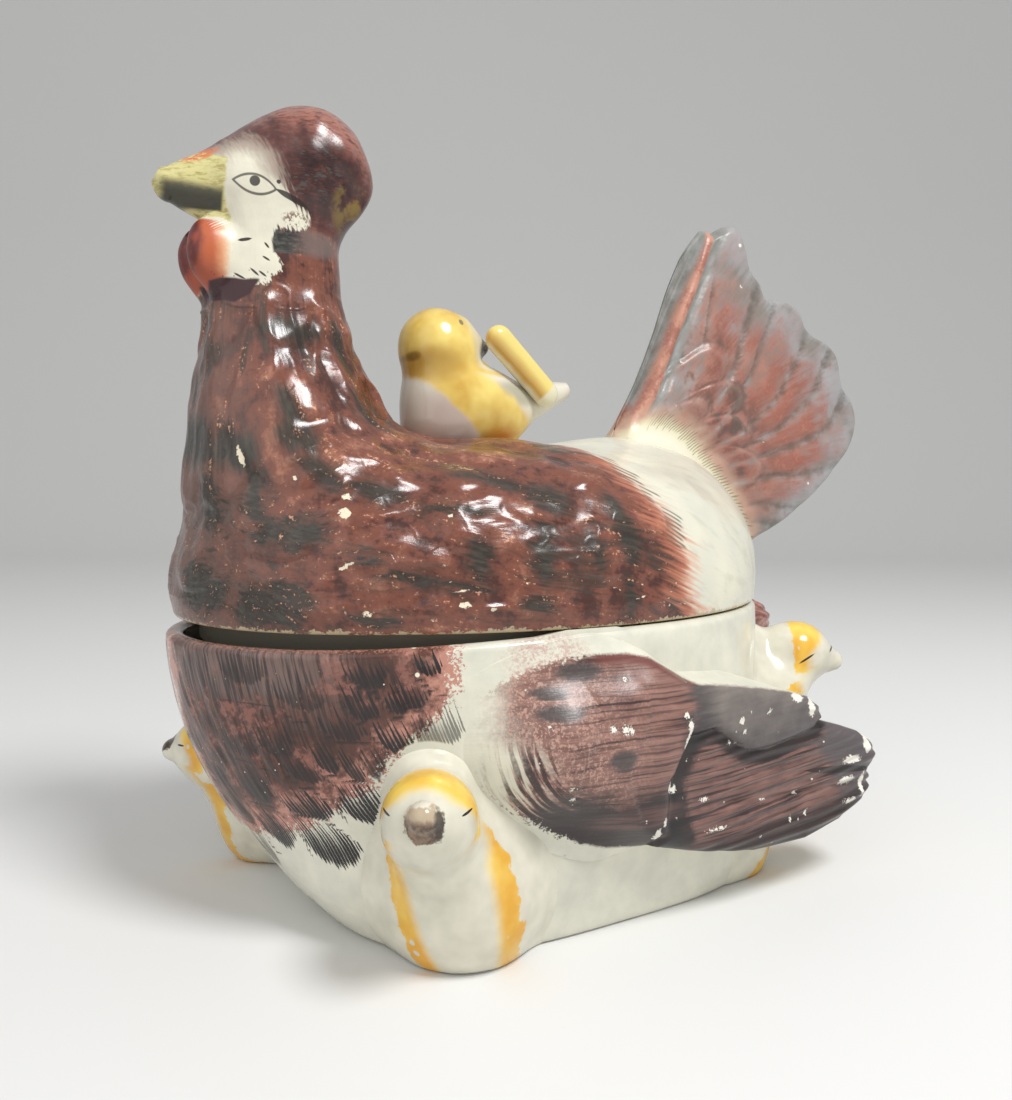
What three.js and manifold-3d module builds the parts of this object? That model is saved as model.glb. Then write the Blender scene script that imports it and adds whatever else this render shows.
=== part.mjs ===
// A lidded pottery dish in the form of a sitting hen, in millimetres.
// The hen faces -X, her left side is toward -Y and +Z is up. The origin is the centre of the flat foot.
// Each member is a rectangular grid of points closed round its own core: every point is moved out along
// a ray from the core until it meets the member's surface, which is a soft union of simple solids.
import * as THREE from "three";
import { mergeVertices } from "three/addons/utils/BufferGeometryUtils.js";
import Module from "manifold-3d";

const wasm = await Module();
wasm.setup();

// Driving dimensions.
const SEAM = 84; // height of the lid's lower edge
const RIM = 83.6; // height of the dish's rim where the lid rests on it
const RIM_DIP = 3.6; // how far the warped rim falls away from the lid at the breast
const LID_HALF_LENGTH = 98;
const LID_HALF_WIDTH = 71;
const BACK_RISE = 51; // from the seam to the saddle of the back
const DISH_HALF_LENGTH = 99.5;
const DISH_HALF_WIDTH = 72.5;
const DISH_SHIFT = -1.5; // the rim stands out from under the lid at the breast only
const FOOT_HALF_LENGTH = 71;
const FOOT_HALF_WIDTH = 66.5;
const FOOT_SHIFT = 8; // the foot's middle stands this far behind the lid's
const FOOT_SQUARENESS = 1.3; // how much squarer than an ellipse the foot is
const WALL = 5;
const FLOOR = 7;
const FLANGE_DROP = 7; // the lid's locating flange hangs this far below the seam
const FLANGE_HALF_LENGTH = 91.8;
const FLANGE_HALF_WIDTH = 66.3;
const FLANGE_WALL = 3.2;
const LID_WALL = 7.5;
const GAP = 0.3; // clearance left where one member is luted on another

const PAINT = {
  plumage: 0x6b3a35,
  cream: 0xe9e4d2,
  tail: 0x8f6f6c,
  yellow: 0xe2b43c,
  wing: 0x4d3a40,
};

const mix = (a, b, t) => a + (b - a) * t;
const clamp = (v, low, high) => Math.min(Math.max(v, low), high);
const ease = (low, high, v) => {
  const t = clamp((v - low) / (high - low), 0, 1);
  return t * t * (3 - 2 * t);
};
const soft = (a, b, k) => {
  const h = Math.max(k - Math.abs(a - b), 0) / k;
  return Math.min(a, b) - (h * h * k) / 4;
};

// Nearly the distance to an ellipsoid; lean turns it about Y and turn then turns it about Z, in degrees.
function ellipsoid([x, y, z], [cx, cy, cz], [rx, ry, rz], lean = 0, turn = 0) {
  const t = THREE.MathUtils.degToRad(turn);
  const l = THREE.MathUtils.degToRad(lean);
  const dx = x - cx;
  const dy = y - cy;
  const dz = z - cz;
  const u = dx * Math.cos(t) + dy * Math.sin(t);
  const q = (dy * Math.cos(t) - dx * Math.sin(t)) / ry;
  const p = (u * Math.cos(l) + dz * Math.sin(l)) / rx;
  const r = (dz * Math.cos(l) - u * Math.sin(l)) / rz;
  const k = Math.hypot(p, q, r);
  const g = Math.hypot(p / rx, q / ry, r / rz);
  return g > 1e-9 ? (k * (k - 1)) / g : -Math.min(rx, ry, rz);
}

// A round bar from one point to another whose radius runs from one value to the other.
function bar([x, y, z], [ax, ay, az], [bx, by, bz], ra, rb) {
  const lx = bx - ax;
  const ly = by - ay;
  const lz = bz - az;
  const t = clamp(
    ((x - ax) * lx + (y - ay) * ly + (z - az) * lz) / (lx * lx + ly * ly + lz * lz),
    0,
    1,
  );
  return Math.hypot(x - ax - t * lx, y - ay - t * ly, z - az - t * lz) - mix(ra, rb, t);
}

// Distance along a ray, from far away inward, to the first point of the surface.
function reach(field, from, along, far) {
  const at = (t) => [from[0] + along[0] * t, from[1] + along[1] * t, from[2] + along[2] * t];
  let t = far;
  let d = field(at(t));
  while (d > 0 && t > 0) {
    t -= clamp(d * 0.7, 0.4, 12);
    d = field(at(t));
  }
  if (t <= 0) return 0.2;
  let low = t;
  let high = Math.min(t + 12, far);
  for (let s = t; s < far; s += 0.4) {
    if (field(at(s)) > 0) {
      high = s;
      break;
    }
    low = s;
  }
  for (let i = 0; i < 16; i++) {
    const middle = (low + high) / 2;
    if (field(at(middle)) > 0) high = middle;
    else low = middle;
  }
  return (low + high) / 2;
}

// A closed skin: place(u, v) gives the point, u runs once round and v from one end to the other.
function skin(cols, rows, place) {
  const sheet = new THREE.PlaneGeometry(1, 1, cols, rows);
  const position = sheet.getAttribute("position");
  const uv = sheet.getAttribute("uv");
  for (let i = 0; i < position.count; i++) {
    const u = uv.getX(i) > 1 - 1e-6 ? 0 : uv.getX(i);
    position.setXYZ(i, ...place(u, 1 - uv.getY(i)));
  }
  sheet.deleteAttribute("normal");
  sheet.deleteAttribute("uv");
  const merged = mergeVertices(sheet, 1e-4);
  const corners = merged.getAttribute("position");
  const index = merged.index.array;
  const kept = [];
  const a = new THREE.Vector3();
  const b = new THREE.Vector3();
  const c = new THREE.Vector3();
  let volume = 0;
  for (let i = 0; i < index.length; i += 3) {
    const [p, q, r] = [index[i], index[i + 1], index[i + 2]];
    if (p === q || q === r || r === p) continue;
    kept.push(p, q, r);
    a.fromBufferAttribute(corners, p);
    b.fromBufferAttribute(corners, q);
    c.fromBufferAttribute(corners, r);
    volume += a.dot(b.cross(c));
  }
  if (volume < 0) {
    for (let i = 0; i < kept.length; i += 3) [kept[i + 1], kept[i + 2]] = [kept[i + 2], kept[i + 1]];
  }
  return new wasm.Manifold(
    new wasm.Mesh({
      numProp: 3,
      vertProperties: new Float32Array(corners.array),
      triVerts: new Uint32Array(kept),
    }),
  );
}

// The plan of the dish at a height: centre, half length, half width and the power of its oval.
function dishPlan(z) {
  const up = clamp(z / RIM, 0, 1.2);
  const down = Math.max(1 - up, 0);
  return [
    mix(DISH_SHIFT, FOOT_SHIFT, down ** 1.5),
    mix(DISH_HALF_LENGTH, FOOT_HALF_LENGTH, down ** 2.2),
    mix(DISH_HALF_WIDTH + 2, FOOT_HALF_WIDTH, down ** 2.4) - 2 * up ** 4,
    2 + FOOT_SQUARENESS * ease(34, 0, z),
  ];
}

function dishWall([x, y, z]) {
  const [centre, length, width, n] = dishPlan(z);
  const p = Math.abs(x - centre) / length;
  const q = Math.abs(y) / width;
  const k = Math.max(p ** n + q ** n, 1e-9) ** (1 / n);
  const slope = k ** (1 - n) * Math.hypot(p ** (n - 1) / length, q ** (n - 1) / width);
  return (k - 1) / Math.max(slope, 1e-3);
}

// How far the dish's wall stands from the hen's middle plane at a length and a height.
function wallSide(x, z) {
  const [centre, length, width, n] = dishPlan(z);
  return width * Math.max(1 - (Math.abs(x - centre) / length) ** n, 0) ** (1 / n);
}

// The hen's upper body, neck and head.
const NECK = [
  [-55, 106, 33, 44],
  [-60, 122, 33, 38],
  [-65.5, 138, 28, 29.5],
  [-68, 153, 23.5, 23],
  [-69.5, 169, 19.2, 18],
  [-69.5, 184, 17.8, 16.5],
  [-69.5, 196, 17, 15.5],
];

function column([x, y, z], thinner = 0) {
  let i = 0;
  while (i < NECK.length - 2 && z > NECK[i + 1][1]) i++;
  const t = clamp((z - NECK[i][1]) / (NECK[i + 1][1] - NECK[i][1]), 0, 1);
  const [cx, , a, b] = NECK[i].map((v, j) => mix(v, NECK[i + 1][j], t));
  const p = (x - cx) / (a - thinner);
  const q = y / (b - thinner);
  const k = Math.hypot(p, q);
  const g = Math.hypot(p / (a - thinner), q / (b - thinner));
  const side = g > 1e-9 ? (k * (k - 1)) / g : -b;
  const top = NECK[NECK.length - 1][1] - thinner * 2;
  return Math.max(side, z - top, NECK[0][1] - 30 - z);
}

function dome([x, y, z], thinner = 0) {
  const plan = Math.hypot(x / (LID_HALF_LENGTH - thinner), y / (LID_HALF_WIDTH - thinner));
  const up = Math.max(z - SEAM, 0) / (BACK_RISE - thinner);
  const k = (plan ** 2.7 + up ** 2.7) ** (1 / 2.7);
  return (k - 1) * (BACK_RISE + 12);
}

function hen(p) {
  let d = dome(p);
  d = soft(d, ellipsoid(p, [56, 0, 104], [42, 36, 34], -12), 14);
  d = soft(d, column(p), 16);
  let head = ellipsoid(p, [-69, 0, 203], [19.5, 16.5, 20]);
  head = soft(head, ellipsoid(p, [-60, 0, 211.5], [17.8, 17.5, 17.8], -12), 5);
  head = soft(head, bar(p, [-84, 0, 205], [-99, 0, 202.6], 9.5, 4), 6);
  const far = [p[0], Math.abs(p[1]), p[2]];
  head = soft(head, ellipsoid(far, [-88.8, 5.6, 184.6], [6.6, 6, 10.4], 8), 3);
  return soft(d, head, 7);
}

// Planes that fan up over the back, up the neck and over the crown to the tip of the beak:
// x and z of the core point, and the plane's tilt in degrees.
const FAN = [
  [0, 84, 0],
  [-2, 91, 2.7],
  [-5, 97, 5.2],
  [-9, 103.5, 8],
  [-14, 109, 10.5],
  [-22, 114.4, 13.4],
  [-33, 119.5, 17],
  [-45, 124.8, 21.3],
  [-56, 129.6, 25.6],
  [-61, 134.5, 24],
  [-64, 141.5, 15.5],
  [-66.5, 149.5, 6],
  [-68, 157, 0],
  [-69, 164, 0],
  [-69, 171, 1],
  [-69, 178, 8],
  [-69, 185, 15],
  [-69, 192, 22.5],
  [-70, 199, 29.5],
  [-73, 204.5, 36],
  [-79, 207.5, 42.5],
  [-87, 208, 49.5],
  [-94, 206.5, 55.5],
  [-98.5, 204.8, 60],
  [-102.8, 202.6, 63],
];

function fanPlane(w) {
  const s = clamp(w, 0, 1) * (FAN.length - 1);
  const i = Math.min(Math.floor(s), FAN.length - 2);
  return FAN[i].map((v, j) => mix(v, FAN[i + 1][j], s - i));
}

// A skin whose flat underside lies at the seam, or lower where drop is more than 0.
function fanSkin(field, cols, rows, drop, last) {
  const flat = 2 / rows;
  return skin(cols, rows, (u, v) => {
    const w = clamp((v - flat) / (1 - flat), 0, 1) * last;
    const [x, z, tilt] = fanPlane(w);
    const turn = u * 2 * Math.PI;
    const b = THREE.MathUtils.degToRad(tilt);
    const along = [Math.cos(turn) * Math.cos(b), Math.sin(turn), Math.cos(turn) * Math.sin(b)];
    if (v > 1 - 1e-6) return [x, 0, z];
    const t = reach(field, [x, 0, z], along, 130);
    if (v < flat - 1e-6) {
      const inward = v < flat / 2 - 1e-6 ? 0 : 1;
      return [x + along[0] * t * inward, along[1] * t * inward, SEAM - drop];
    }
    return [x + along[0] * t, along[1] * t, z + along[2] * t];
  });
}

// The lid's hollow follows the body and the neck, one wall thickness inside.
function hollow(p) {
  return soft(dome(p, LID_WALL), column(p, LID_WALL - 1), 14);
}

// A vertical oval drum, used for the flange and for opening the dish.
function drum(length, width, low, high, centre = 0) {
  const solid = new THREE.CylinderGeometry(1, 1, high - low, 40);
  solid.rotateX(Math.PI / 2);
  solid.scale(length, width, 1);
  solid.translate(centre, 0, (low + high) / 2);
  return solidOf(solid);
}

function solidOf(geometry) {
  const plain = geometry.clone();
  plain.deleteAttribute("normal");
  plain.deleteAttribute("uv");
  const merged = mergeVertices(plain, 1e-4);
  return new wasm.Manifold(
    new wasm.Mesh({
      numProp: 3,
      vertProperties: new Float32Array(merged.getAttribute("position").array),
      triVerts: new Uint32Array(merged.index.array),
    }),
  );
}

const lidOuter = fanSkin(hen, 36, 38, 0, 1);
const lidGrown = fanSkin((p) => hen(p) - GAP, 36, 38, 0, 1);
const lidHollow = fanSkin(hollow, 24, 16, 3, 0.62);
const flange = drum(FLANGE_HALF_LENGTH, FLANGE_HALF_WIDTH, SEAM - FLANGE_DROP, SEAM + 3).subtract(
  drum(
    FLANGE_HALF_LENGTH - FLANGE_WALL,
    FLANGE_HALF_WIDTH - FLANGE_WALL,
    SEAM - FLANGE_DROP - 1,
    SEAM + 4,
  ),
);
const lidShell = lidOuter.subtract(lidHollow).add(flange);

// The dish: a plain oval bowl, flat underneath. Its rim dips a little toward the breast.
function rimHeight(x) {
  return RIM - RIM_DIP * (1 - ease(-88, 8, x));
}

function bowlSkin(cols, rows, thinner, low, lift, grow = 0) {
  const cap = 1 / rows;
  return skin(cols, rows, (u, v) => {
    const turn = u * 2 * Math.PI;
    const w = clamp((v - cap) / (1 - 2 * cap), 0, 1);
    const base = low + (RIM - low) * w;
    const [centre, length, width, n] = dishPlan(base);
    const far = (Math.abs(Math.cos(turn)) ** n + Math.abs(Math.sin(turn)) ** n) ** (-1 / n);
    const x = centre + (length - thinner + grow) * far * Math.cos(turn);
    const y = (width - thinner + grow) * far * Math.sin(turn);
    const top = rimHeight(x) + lift;
    const z = low + (top - low) * w;
    if (v < 1e-6) return [centre, 0, low];
    if (v > 1 - 1e-6) return [0, 0, rimHeight(0) + lift];
    return [x, y, z];
  });
}

const bowlGrown = bowlSkin(40, 14, 0, 0, 0, GAP);
const dishBowl = bowlSkin(40, 14, 0, 0, 0).subtract(bowlSkin(32, 8, WALL, FLOOR, 4));

// The tail is a thick upright fan of two layers of feathers, laid out in polar steps from its root.
const TAIL_ROOT = [36, 114];
const TAIL_LOW = -13;
const TAIL_HIGH = 65;
const TAIL_TIPS = [
  [-13, 82],
  [-8, 86],
  [-4, 97],
  [0, 108],
  [4, 120],
  [8, 132],
  [12, 142],
  [15.5, 145.5],
  [18, 144.5],
  [20.5, 141.4],
  [23, 140.6],
  [26, 141.5],
  [29, 139],
  [32, 132.2],
  [34.5, 130],
  [37.5, 130],
  [41, 125.5],
  [44.3, 118],
  [47, 119.6],
  [51, 120.4],
  [54, 124.5],
  [56.5, 126.3],
  [59, 125],
  [61.5, 118],
  [65, 110],
];
// Degrees at which the long feathers meet.
const TAIL_SEAMS = [-13, -5, 0, 7.7, 15, 21.5, 29.3, 41, 46.7, 59];
// The first feather's front edge on her left side: radius and degrees. Farther forward the second
// layer of feathers is seen.
const TAIL_RIDGE = [
  [25, 54],
  [38, 55.9],
  [48, 55.9],
  [62, 57.3],
  [81, 59.2],
  [96, 60],
  [109, 60.7],
  [122, 61.3],
];
const FEATHER_CROWN = 1.5;

function between(rows, at) {
  let i = 0;
  while (i < rows.length - 2 && at > rows[i + 1][0]) i++;
  const [a, b] = [rows[i], rows[i + 1]];
  return mix(a[1], b[1], clamp((at - a[0]) / (b[0] - a[0]), 0, 1));
}

function tailSkin() {
  return skin(92, 22, (u, v) => {
    const folded = Math.round((u > 0.5 ? 1 - u : u) * 1e6) / 1e6;
    const turn = folded * 2 * Math.PI * (u > 0.5 ? -1 : 1);
    const across = Math.cos(turn);
    const full = Math.sign(across) * Math.abs(across) ** 0.8;
    const out = mix(0.22, 1, Math.sin((v * Math.PI) / 2) ** 0.8);
    const front = TAIL_HIGH - 4.2 + 3 * ease(0.4, 0.85, out) - 1.2 * ease(0.9, 1, out);
    const degrees = mix(TAIL_LOW, front, (full + 1) / 2);
    const tip = between(TAIL_TIPS, degrees);
    const r = tip * out;
    const bevel = 1 - clamp((tip - r) / 5.5, 0, 1);
    const lean = ease(TAIL_LOW, TAIL_HIGH, degrees);
    const thick = mix(5.5, mix(7.5, 9, out), lean) * Math.sqrt(1 - bevel ** 2) * mix(1.1, 1, out);
    const bent = degrees + 0.3 * ease(8, 30, degrees) * (110 - r);
    const seam = TAIL_SEAMS.findLastIndex((at) => bent >= at);
    const [from, to] = [TAIL_SEAMS[seam], TAIL_SEAMS[seam + 1]];
    const crown = to > from ? 1 - Math.abs(((bent - from) / (to - from)) * 2 - 1) ** 3 : 0;
    const relief = FEATHER_CROWN * crown * ease(60, 95, r) * Math.sqrt(1 - bevel ** 2);
    const half = Math.max(thick - 1 + relief, 0);
    const off = THREE.MathUtils.degToRad(degrees - between(TAIL_RIDGE, r)) * r;
    const recess = ease(1.2, 3, off) * ease(26, 36, r);
    const side = Math.abs(Math.sin(turn)) ** 0.6;
    const a = THREE.MathUtils.degToRad(degrees);
    const y = half * side * (u > 0.5 ? mix(-1, 0.2, recess) : 1);
    if (v < 1e-6) return [TAIL_ROOT[0] + 18, 0, TAIL_ROOT[1] + 16];
    return [TAIL_ROOT[0] + r * Math.cos(a), y, TAIL_ROOT[1] + r * Math.sin(a)];
  });
}

// A small member built on rays from a straight core: the rows are planes across the core.
function coreSkin(field, cols, rows, from, to) {
  const core = new THREE.Vector3(...to).sub(new THREE.Vector3(...from));
  const length = core.length();
  core.normalize();
  const side = new THREE.Vector3(0, 1, 0);
  if (Math.abs(core.y) > 0.8) side.set(1, 0, 0);
  side.cross(core).normalize();
  const other = core.clone().cross(side);
  return skin(cols, rows, (u, v) => {
    const turn = u * 2 * Math.PI;
    const polar = Math.PI * (1 - v);
    const along = Math.cos(polar);
    const start = clamp(v * 1.6 - 0.3, 0, 1) * length;
    const from3 = [0, 1, 2].map((i) => from[i] + core.getComponent(i) * start);
    const ray = [0, 1, 2].map(
      (i) =>
        core.getComponent(i) * along +
        (side.getComponent(i) * Math.cos(turn) + other.getComponent(i) * Math.sin(turn)) *
          Math.sin(polar),
    );
    const t = reach(field, from3, ray, 60);
    return [0, 1, 2].map((i) => from3[i] + ray[i] * t);
  });
}

// The small bird on the back, with its head turned to preen.
function finial(p) {
  let d = ellipsoid(p, [-8.5, 0, 147], [19.5, 14, 15], -8);
  d = soft(d, bar(p, [-17.5, 0, 142], [-18, 0, 160], 12.5, 11), 6);
  d = soft(d, ellipsoid(p, [-18.5, 0, 165.5], [12.5, 11.5, 12]), 4);
  d = soft(d, bar(p, [-11, -0.5, 167.5], [-2.8, -1, 166.4], 6, 2), 5);
  return soft(d, bar(p, [4, 0, 146], [28, 0, 154.5], 9, 3.6), 8);
}

function finialWing(p) {
  return bar([p[0], (p[1] + 9) * 1.35, p[2]], [-1, 0, 168], [16.5, 0, 152], 4.6, 4.4);
}

function finialWingLow(p) {
  return ellipsoid(p, [2, 7, 156], [14, 4.2, 6], -40);
}

// The sitting chicks are alike. Each stands at its own spot on the dish and faces its own way.
// head: centre of the head, foot: where its body meets the ground, turn: which way it looks.
const CHICKS = {
  chick_front_left: { head: [-56, -73.5, 43.5], foot: [-37, -56.5, 0], turn: -30, size: 1 },
  chick_rear_left: { head: [100, -41.3, 64.5], foot: [55, -46, 0], turn: 58, size: 1 },
  chick_front_right: { head: [-83.5, 34.5, 37], foot: [-62, 33, 0], turn: -125, size: 0.92 },
  chick_rear_right: { head: [56, 73, 44], foot: [42, 54, 0], turn: 150, size: 1 },
};

function chick(p, { head, foot, turn, size }) {
  const a = THREE.MathUtils.degToRad(turn);
  const out = [Math.sin(a), -Math.cos(a)];
  const spot = (base, t, up) => [base[0] + out[0] * t, base[1] + out[1] * t, base[2] + up];
  const belly = [mix(foot[0], head[0], 0.14), mix(foot[1], head[1], 0.14), Math.min(head[2] * 0.36, 17)];
  let d = ellipsoid(p, spot(belly, 1, 0), [18 * size, 15 * size, head[2] * 0.46], 0, turn);
  d = soft(d, bar(p, spot(belly, 0, 4), spot(head, -3, -4), 15 * size, 10.5 * size), 9);
  d = soft(d, ellipsoid(p, head, [11.2 * size, 11.5 * size, 10.6 * size], 0, turn), 4);
  d = soft(d, bar(p, spot(head, 6, -1), spot(head, 13 * size, -3), 7 * size, 4.2), 4);
  d = Math.max(soft(d, dishWall(p) + 0.9, 14), d - 9.5);
  return Math.max(d, -p[2] + 0.3);
}

// The wings lie along the dish and end in free tips. Each is built in three layers, whose outlines
// are given as seen from the side: x and z.
const COVERTS = [
  [-48, 56],
  [-42, 66],
  [-33, 73],
  [-22, 77],
  [0, 77.6],
  [7, 76],
  [15, 71.5],
  [21, 68],
  [15.2, 50.4],
  [11.8, 43.5],
  [15.2, 25.5],
  [-5, 26],
  [-13, 28.5],
  [-22, 33],
  [-31, 39],
  [-40, 46.5],
];
const LONG_FEATHERS = [
  [8, 66],
  [40, 58],
  [72, 51.4],
  [82, 48.4],
  [90, 45.6],
  [98, 38],
  [94.2, 33.2],
  [96, 27.4],
  [92, 23.6],
  [82, 19],
  [66, 16],
  [45, 16.6],
  [24, 20.5],
  [8, 25],
];
const TOP_FEATHER = [
  [8, 70],
  [20, 68.2],
  [44, 64.6],
  [64, 60],
  [69, 56.6],
  [70.6, 52.8],
  [67.4, 50.2],
  [58, 48.2],
  [47, 46.6],
  [40, 47.2],
  [30, 53.4],
  [26, 55.6],
  [8, 55],
];
// Upper and lower edge of the whole wing: x and z.
const WING_TOP = [
  [-54, 58],
  [-48, 68],
  [-40, 76],
  [-28, 82],
  [-15, 84],
  [0, 84],
  [10, 81],
  [21, 74],
  [35, 69.5],
  [48, 65.5],
  [56, 62.6],
  [64, 60],
  [67.5, 57.9],
  [69.6, 55.2],
  [70.8, 52],
  [74, 50.8],
  [82, 48.4],
  [90, 45.6],
  [94, 43.3],
  [98, 38.2],
];
const WING_LOW = [
  [-54, 54],
  [-48, 44],
  [-40, 37],
  [-31, 30],
  [-22, 24],
  [-13, 20],
  [0, 17],
  [15, 15],
  [45, 14.6],
  [66, 16],
  [82, 19],
  [92, 23.6],
  [95.4, 26.8],
  [98, 37.8],
];
const WING_ROWS = [
  -54, -50, -44, -38, -32, -26, -20, -14, -8, -2, 4, 9, 12, 15, 18, 22, 28, 34, 40, 46, 52, 58, 63, 66,
  69, 71, 74, 78, 82, 86, 90, 93, 95.5, 97, 98,
];
const WING_FACE = 28; // columns on the outer face

// Distance to a closed outline in a plane, positive inside it.
function inset(u, v, corners) {
  let nearest = 1e9;
  let within = false;
  corners.forEach(([ax, ay], i) => {
    const [bx, by] = corners[(i + 1) % corners.length];
    const [ex, ey] = [bx - ax, by - ay];
    const t = clamp(((u - ax) * ex + (v - ay) * ey) / (ex * ex + ey * ey), 0, 1);
    nearest = Math.min(nearest, Math.hypot(u - ax - t * ex, v - ay - t * ey));
    if (ay > v !== by > v && u < ax + ((v - ay) * ex) / ey) within = !within;
  });
  return within ? nearest : -nearest;
}

// A rounded edge: 0 at the outline, 1 at the radius inside it, sharply down outside.
const step = (edge, radius) =>
  edge > 0 ? Math.sqrt(1 - (1 - clamp(edge / radius, 0, 1)) ** 2) : edge * 2.5;

function wingFace(x, z) {
  const coverts = inset(x, z, COVERTS);
  const flight = inset(x, z, LONG_FEATHERS);
  const top = inset(x, z, TOP_FEATHER);
  const wall = wallSide(x, z);
  const crowned = 74.5 + 8.5 * (1 - ((z - 51) / 33) ** 2) + ease(-15, 10, x);
  const rear = ease(-12, 13, x);
  const margin = mix(5, 1, rear);
  const t = clamp((coverts + margin) / mix(22, 5, rear), 0, 1);
  const shoulder = mix(t * t * (3 - 2 * t), Math.sqrt(1 - (1 - t) ** 2), ease(-22, 13, x));
  const body = wall - 6 + (crowned - wall + 6) * shoulder * ease(-56, -22, x) ** 0.6;
  const layers = [
    coverts > -margin ? body : 0,
    flight > -3 ? 75 + 3.4 * step(flight, 4.5) + 1.6 * ease(95, 20, x) : 0,
    top > -3 ? 77.6 + 2.6 * step(top, 3.2) + 2 * ease(72, 20, x) : 0,
  ];
  const face = Math.max(...layers);
  const merge = 9 - 8.5 * ease(30, 66, x);
  const gap = Math.max(merge - Math.abs(face - wall + 0.8), 0) / merge;
  return Math.max(face, wall - 0.8, 66 * ease(58, 80, x)) + (gap * gap * merge) / 4;
}

function wingSkin(side) {
  const cols = WING_FACE + 6;
  return skin(cols, WING_ROWS.length - 1, (u, v) => {
    const x = WING_ROWS[Math.round(v * (WING_ROWS.length - 1))];
    const top = between(WING_TOP, x);
    const low = between(WING_LOW, x);
    if (v < 1e-6 || v > 1 - 1e-6) {
      return [x, side * mix(68, 72, v), (top + low) / 2];
    }
    const j = Math.round(u * cols);
    const outer = j < WING_FACE;
    const s = outer ? j / (WING_FACE - 1) : 1 - (j - WING_FACE + 1) / 7;
    const z = (top + low) / 2 + ((top - low) / 2) * Math.sin((s - 0.5) * Math.PI);
    if (outer) return [x, side * wingFace(x, z), z];
    const clear = ease(62, 82, x);
    const edge = Math.max(Math.min(top - z, z - low), 1e-6);
    const rounded = 2.6 * (1 - step(edge, 2.6)) * ease(58, 80, x);
    const inner = mix(Math.min(wallSide(x, z) - 3.6, 69), 69, clear) + rounded;
    return [x, side * Math.min(inner, 76), z];
  });
}

function tuft(p) {
  return ellipsoid(p, [105, -4, 71.5], [18.5, 12, 9.5], -4);
}

function mesh(name, solid, colour) {
  const made = solid.getMesh();
  const geometry = new THREE.BufferGeometry();
  geometry.setAttribute("position", new THREE.BufferAttribute(new Float32Array(made.vertProperties), 3));
  geometry.setIndex(new THREE.BufferAttribute(new Uint32Array(made.triVerts), 1));
  geometry.computeVertexNormals();
  const item = new THREE.Mesh(
    geometry,
    new THREE.MeshStandardMaterial({ color: colour, roughness: 0.18, metalness: 0 }),
  );
  item.name = name;
  return item;
}

const largest = (solid) => {
  const bodies = solid.decompose();
  return bodies.sort((a, b) => b.volume() - a.volume())[0];
};

const lid = new THREE.Group();
const dish = new THREE.Group();

lid.add(mesh("lid_shell", lidShell, PAINT.plumage));
const tail = largest(tailSkin().subtract(lidGrown));
lid.add(mesh("tail_fan", tail, PAINT.tail));
const finialSolid = coreSkin(finial, 20, 16, [-17, 0, 146], [-19, 0, 164]);
const finialGrown = coreSkin((p) => finial(p) - GAP, 20, 16, [-17, 0, 146], [-19, 0, 164]);
const finialBody = largest(finialSolid.subtract(lidGrown));
lid.add(mesh("finial_chick", finialBody, PAINT.yellow));
const wingUp = coreSkin(finialWing, 12, 10, [1, -9, 166], [14, -9, 154]);
lid.add(mesh("finial_wing_left", largest(wingUp.subtract(finialGrown)), PAINT.yellow));
const wingDown = coreSkin(finialWingLow, 12, 8, [-4, 7, 160], [7, 7, 152]);
lid.add(mesh("finial_wing_right", largest(wingDown.subtract(finialGrown)), PAINT.yellow));

dish.add(mesh("dish_bowl", dishBowl, PAINT.cream));
const chickSolids = Object.entries(CHICKS).map(([name, spec]) => {
  const low = [mix(spec.foot[0], spec.head[0], 0.2), mix(spec.foot[1], spec.head[1], 0.2), 14];
  const build = (grow) => coreSkin((p) => chick(p, spec) - grow, 16, 14, low, spec.head);
  return { name, solid: build(0), grown: build(GAP) };
});
for (const { name, solid } of chickSolids) {
  dish.add(mesh(name, largest(solid.subtract(bowlGrown)), PAINT.yellow));
}
for (const [name, side] of [
  ["wing_left", -1],
  ["wing_right", 1],
]) {
  let wing = wingSkin(side).subtract(bowlGrown);
  for (const { grown } of chickSolids) wing = wing.subtract(grown);
  dish.add(mesh(name, largest(wing), PAINT.wing));
}
const tuftSolid = coreSkin(tuft, 14, 10, [96, -3, 72], [112, -3, 71]);
dish.add(mesh("tail_tuft", largest(tuftSolid.subtract(bowlGrown)), PAINT.plumage));

const root = new THREE.Group();
root.add(lid, dish);
export default root;
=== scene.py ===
import math

import bpy
import numpy as np
from mathutils import Matrix, Vector


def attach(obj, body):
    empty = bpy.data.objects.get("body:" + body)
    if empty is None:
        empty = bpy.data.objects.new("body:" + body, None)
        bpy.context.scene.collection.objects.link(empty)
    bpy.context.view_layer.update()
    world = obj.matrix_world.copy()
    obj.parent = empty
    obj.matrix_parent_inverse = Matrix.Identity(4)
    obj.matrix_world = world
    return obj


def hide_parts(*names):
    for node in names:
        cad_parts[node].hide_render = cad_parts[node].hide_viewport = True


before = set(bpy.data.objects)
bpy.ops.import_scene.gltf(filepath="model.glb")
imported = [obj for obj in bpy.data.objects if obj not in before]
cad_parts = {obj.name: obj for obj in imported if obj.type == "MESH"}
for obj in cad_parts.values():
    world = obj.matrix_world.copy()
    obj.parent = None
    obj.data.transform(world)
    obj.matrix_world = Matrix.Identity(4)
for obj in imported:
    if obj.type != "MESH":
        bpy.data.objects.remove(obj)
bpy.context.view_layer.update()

bl_info = {
    "name": "Hen Dish",
    "version": (1, 0, 0),
    "blender": (4, 5, 0),
    "location": "3D View > Sidebar > Hen Dish",
    "description": "Dresses the hen dish: painted and glazed lid, dish, wings, tail and chicks",
    "category": "Add Mesh",
}

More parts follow.
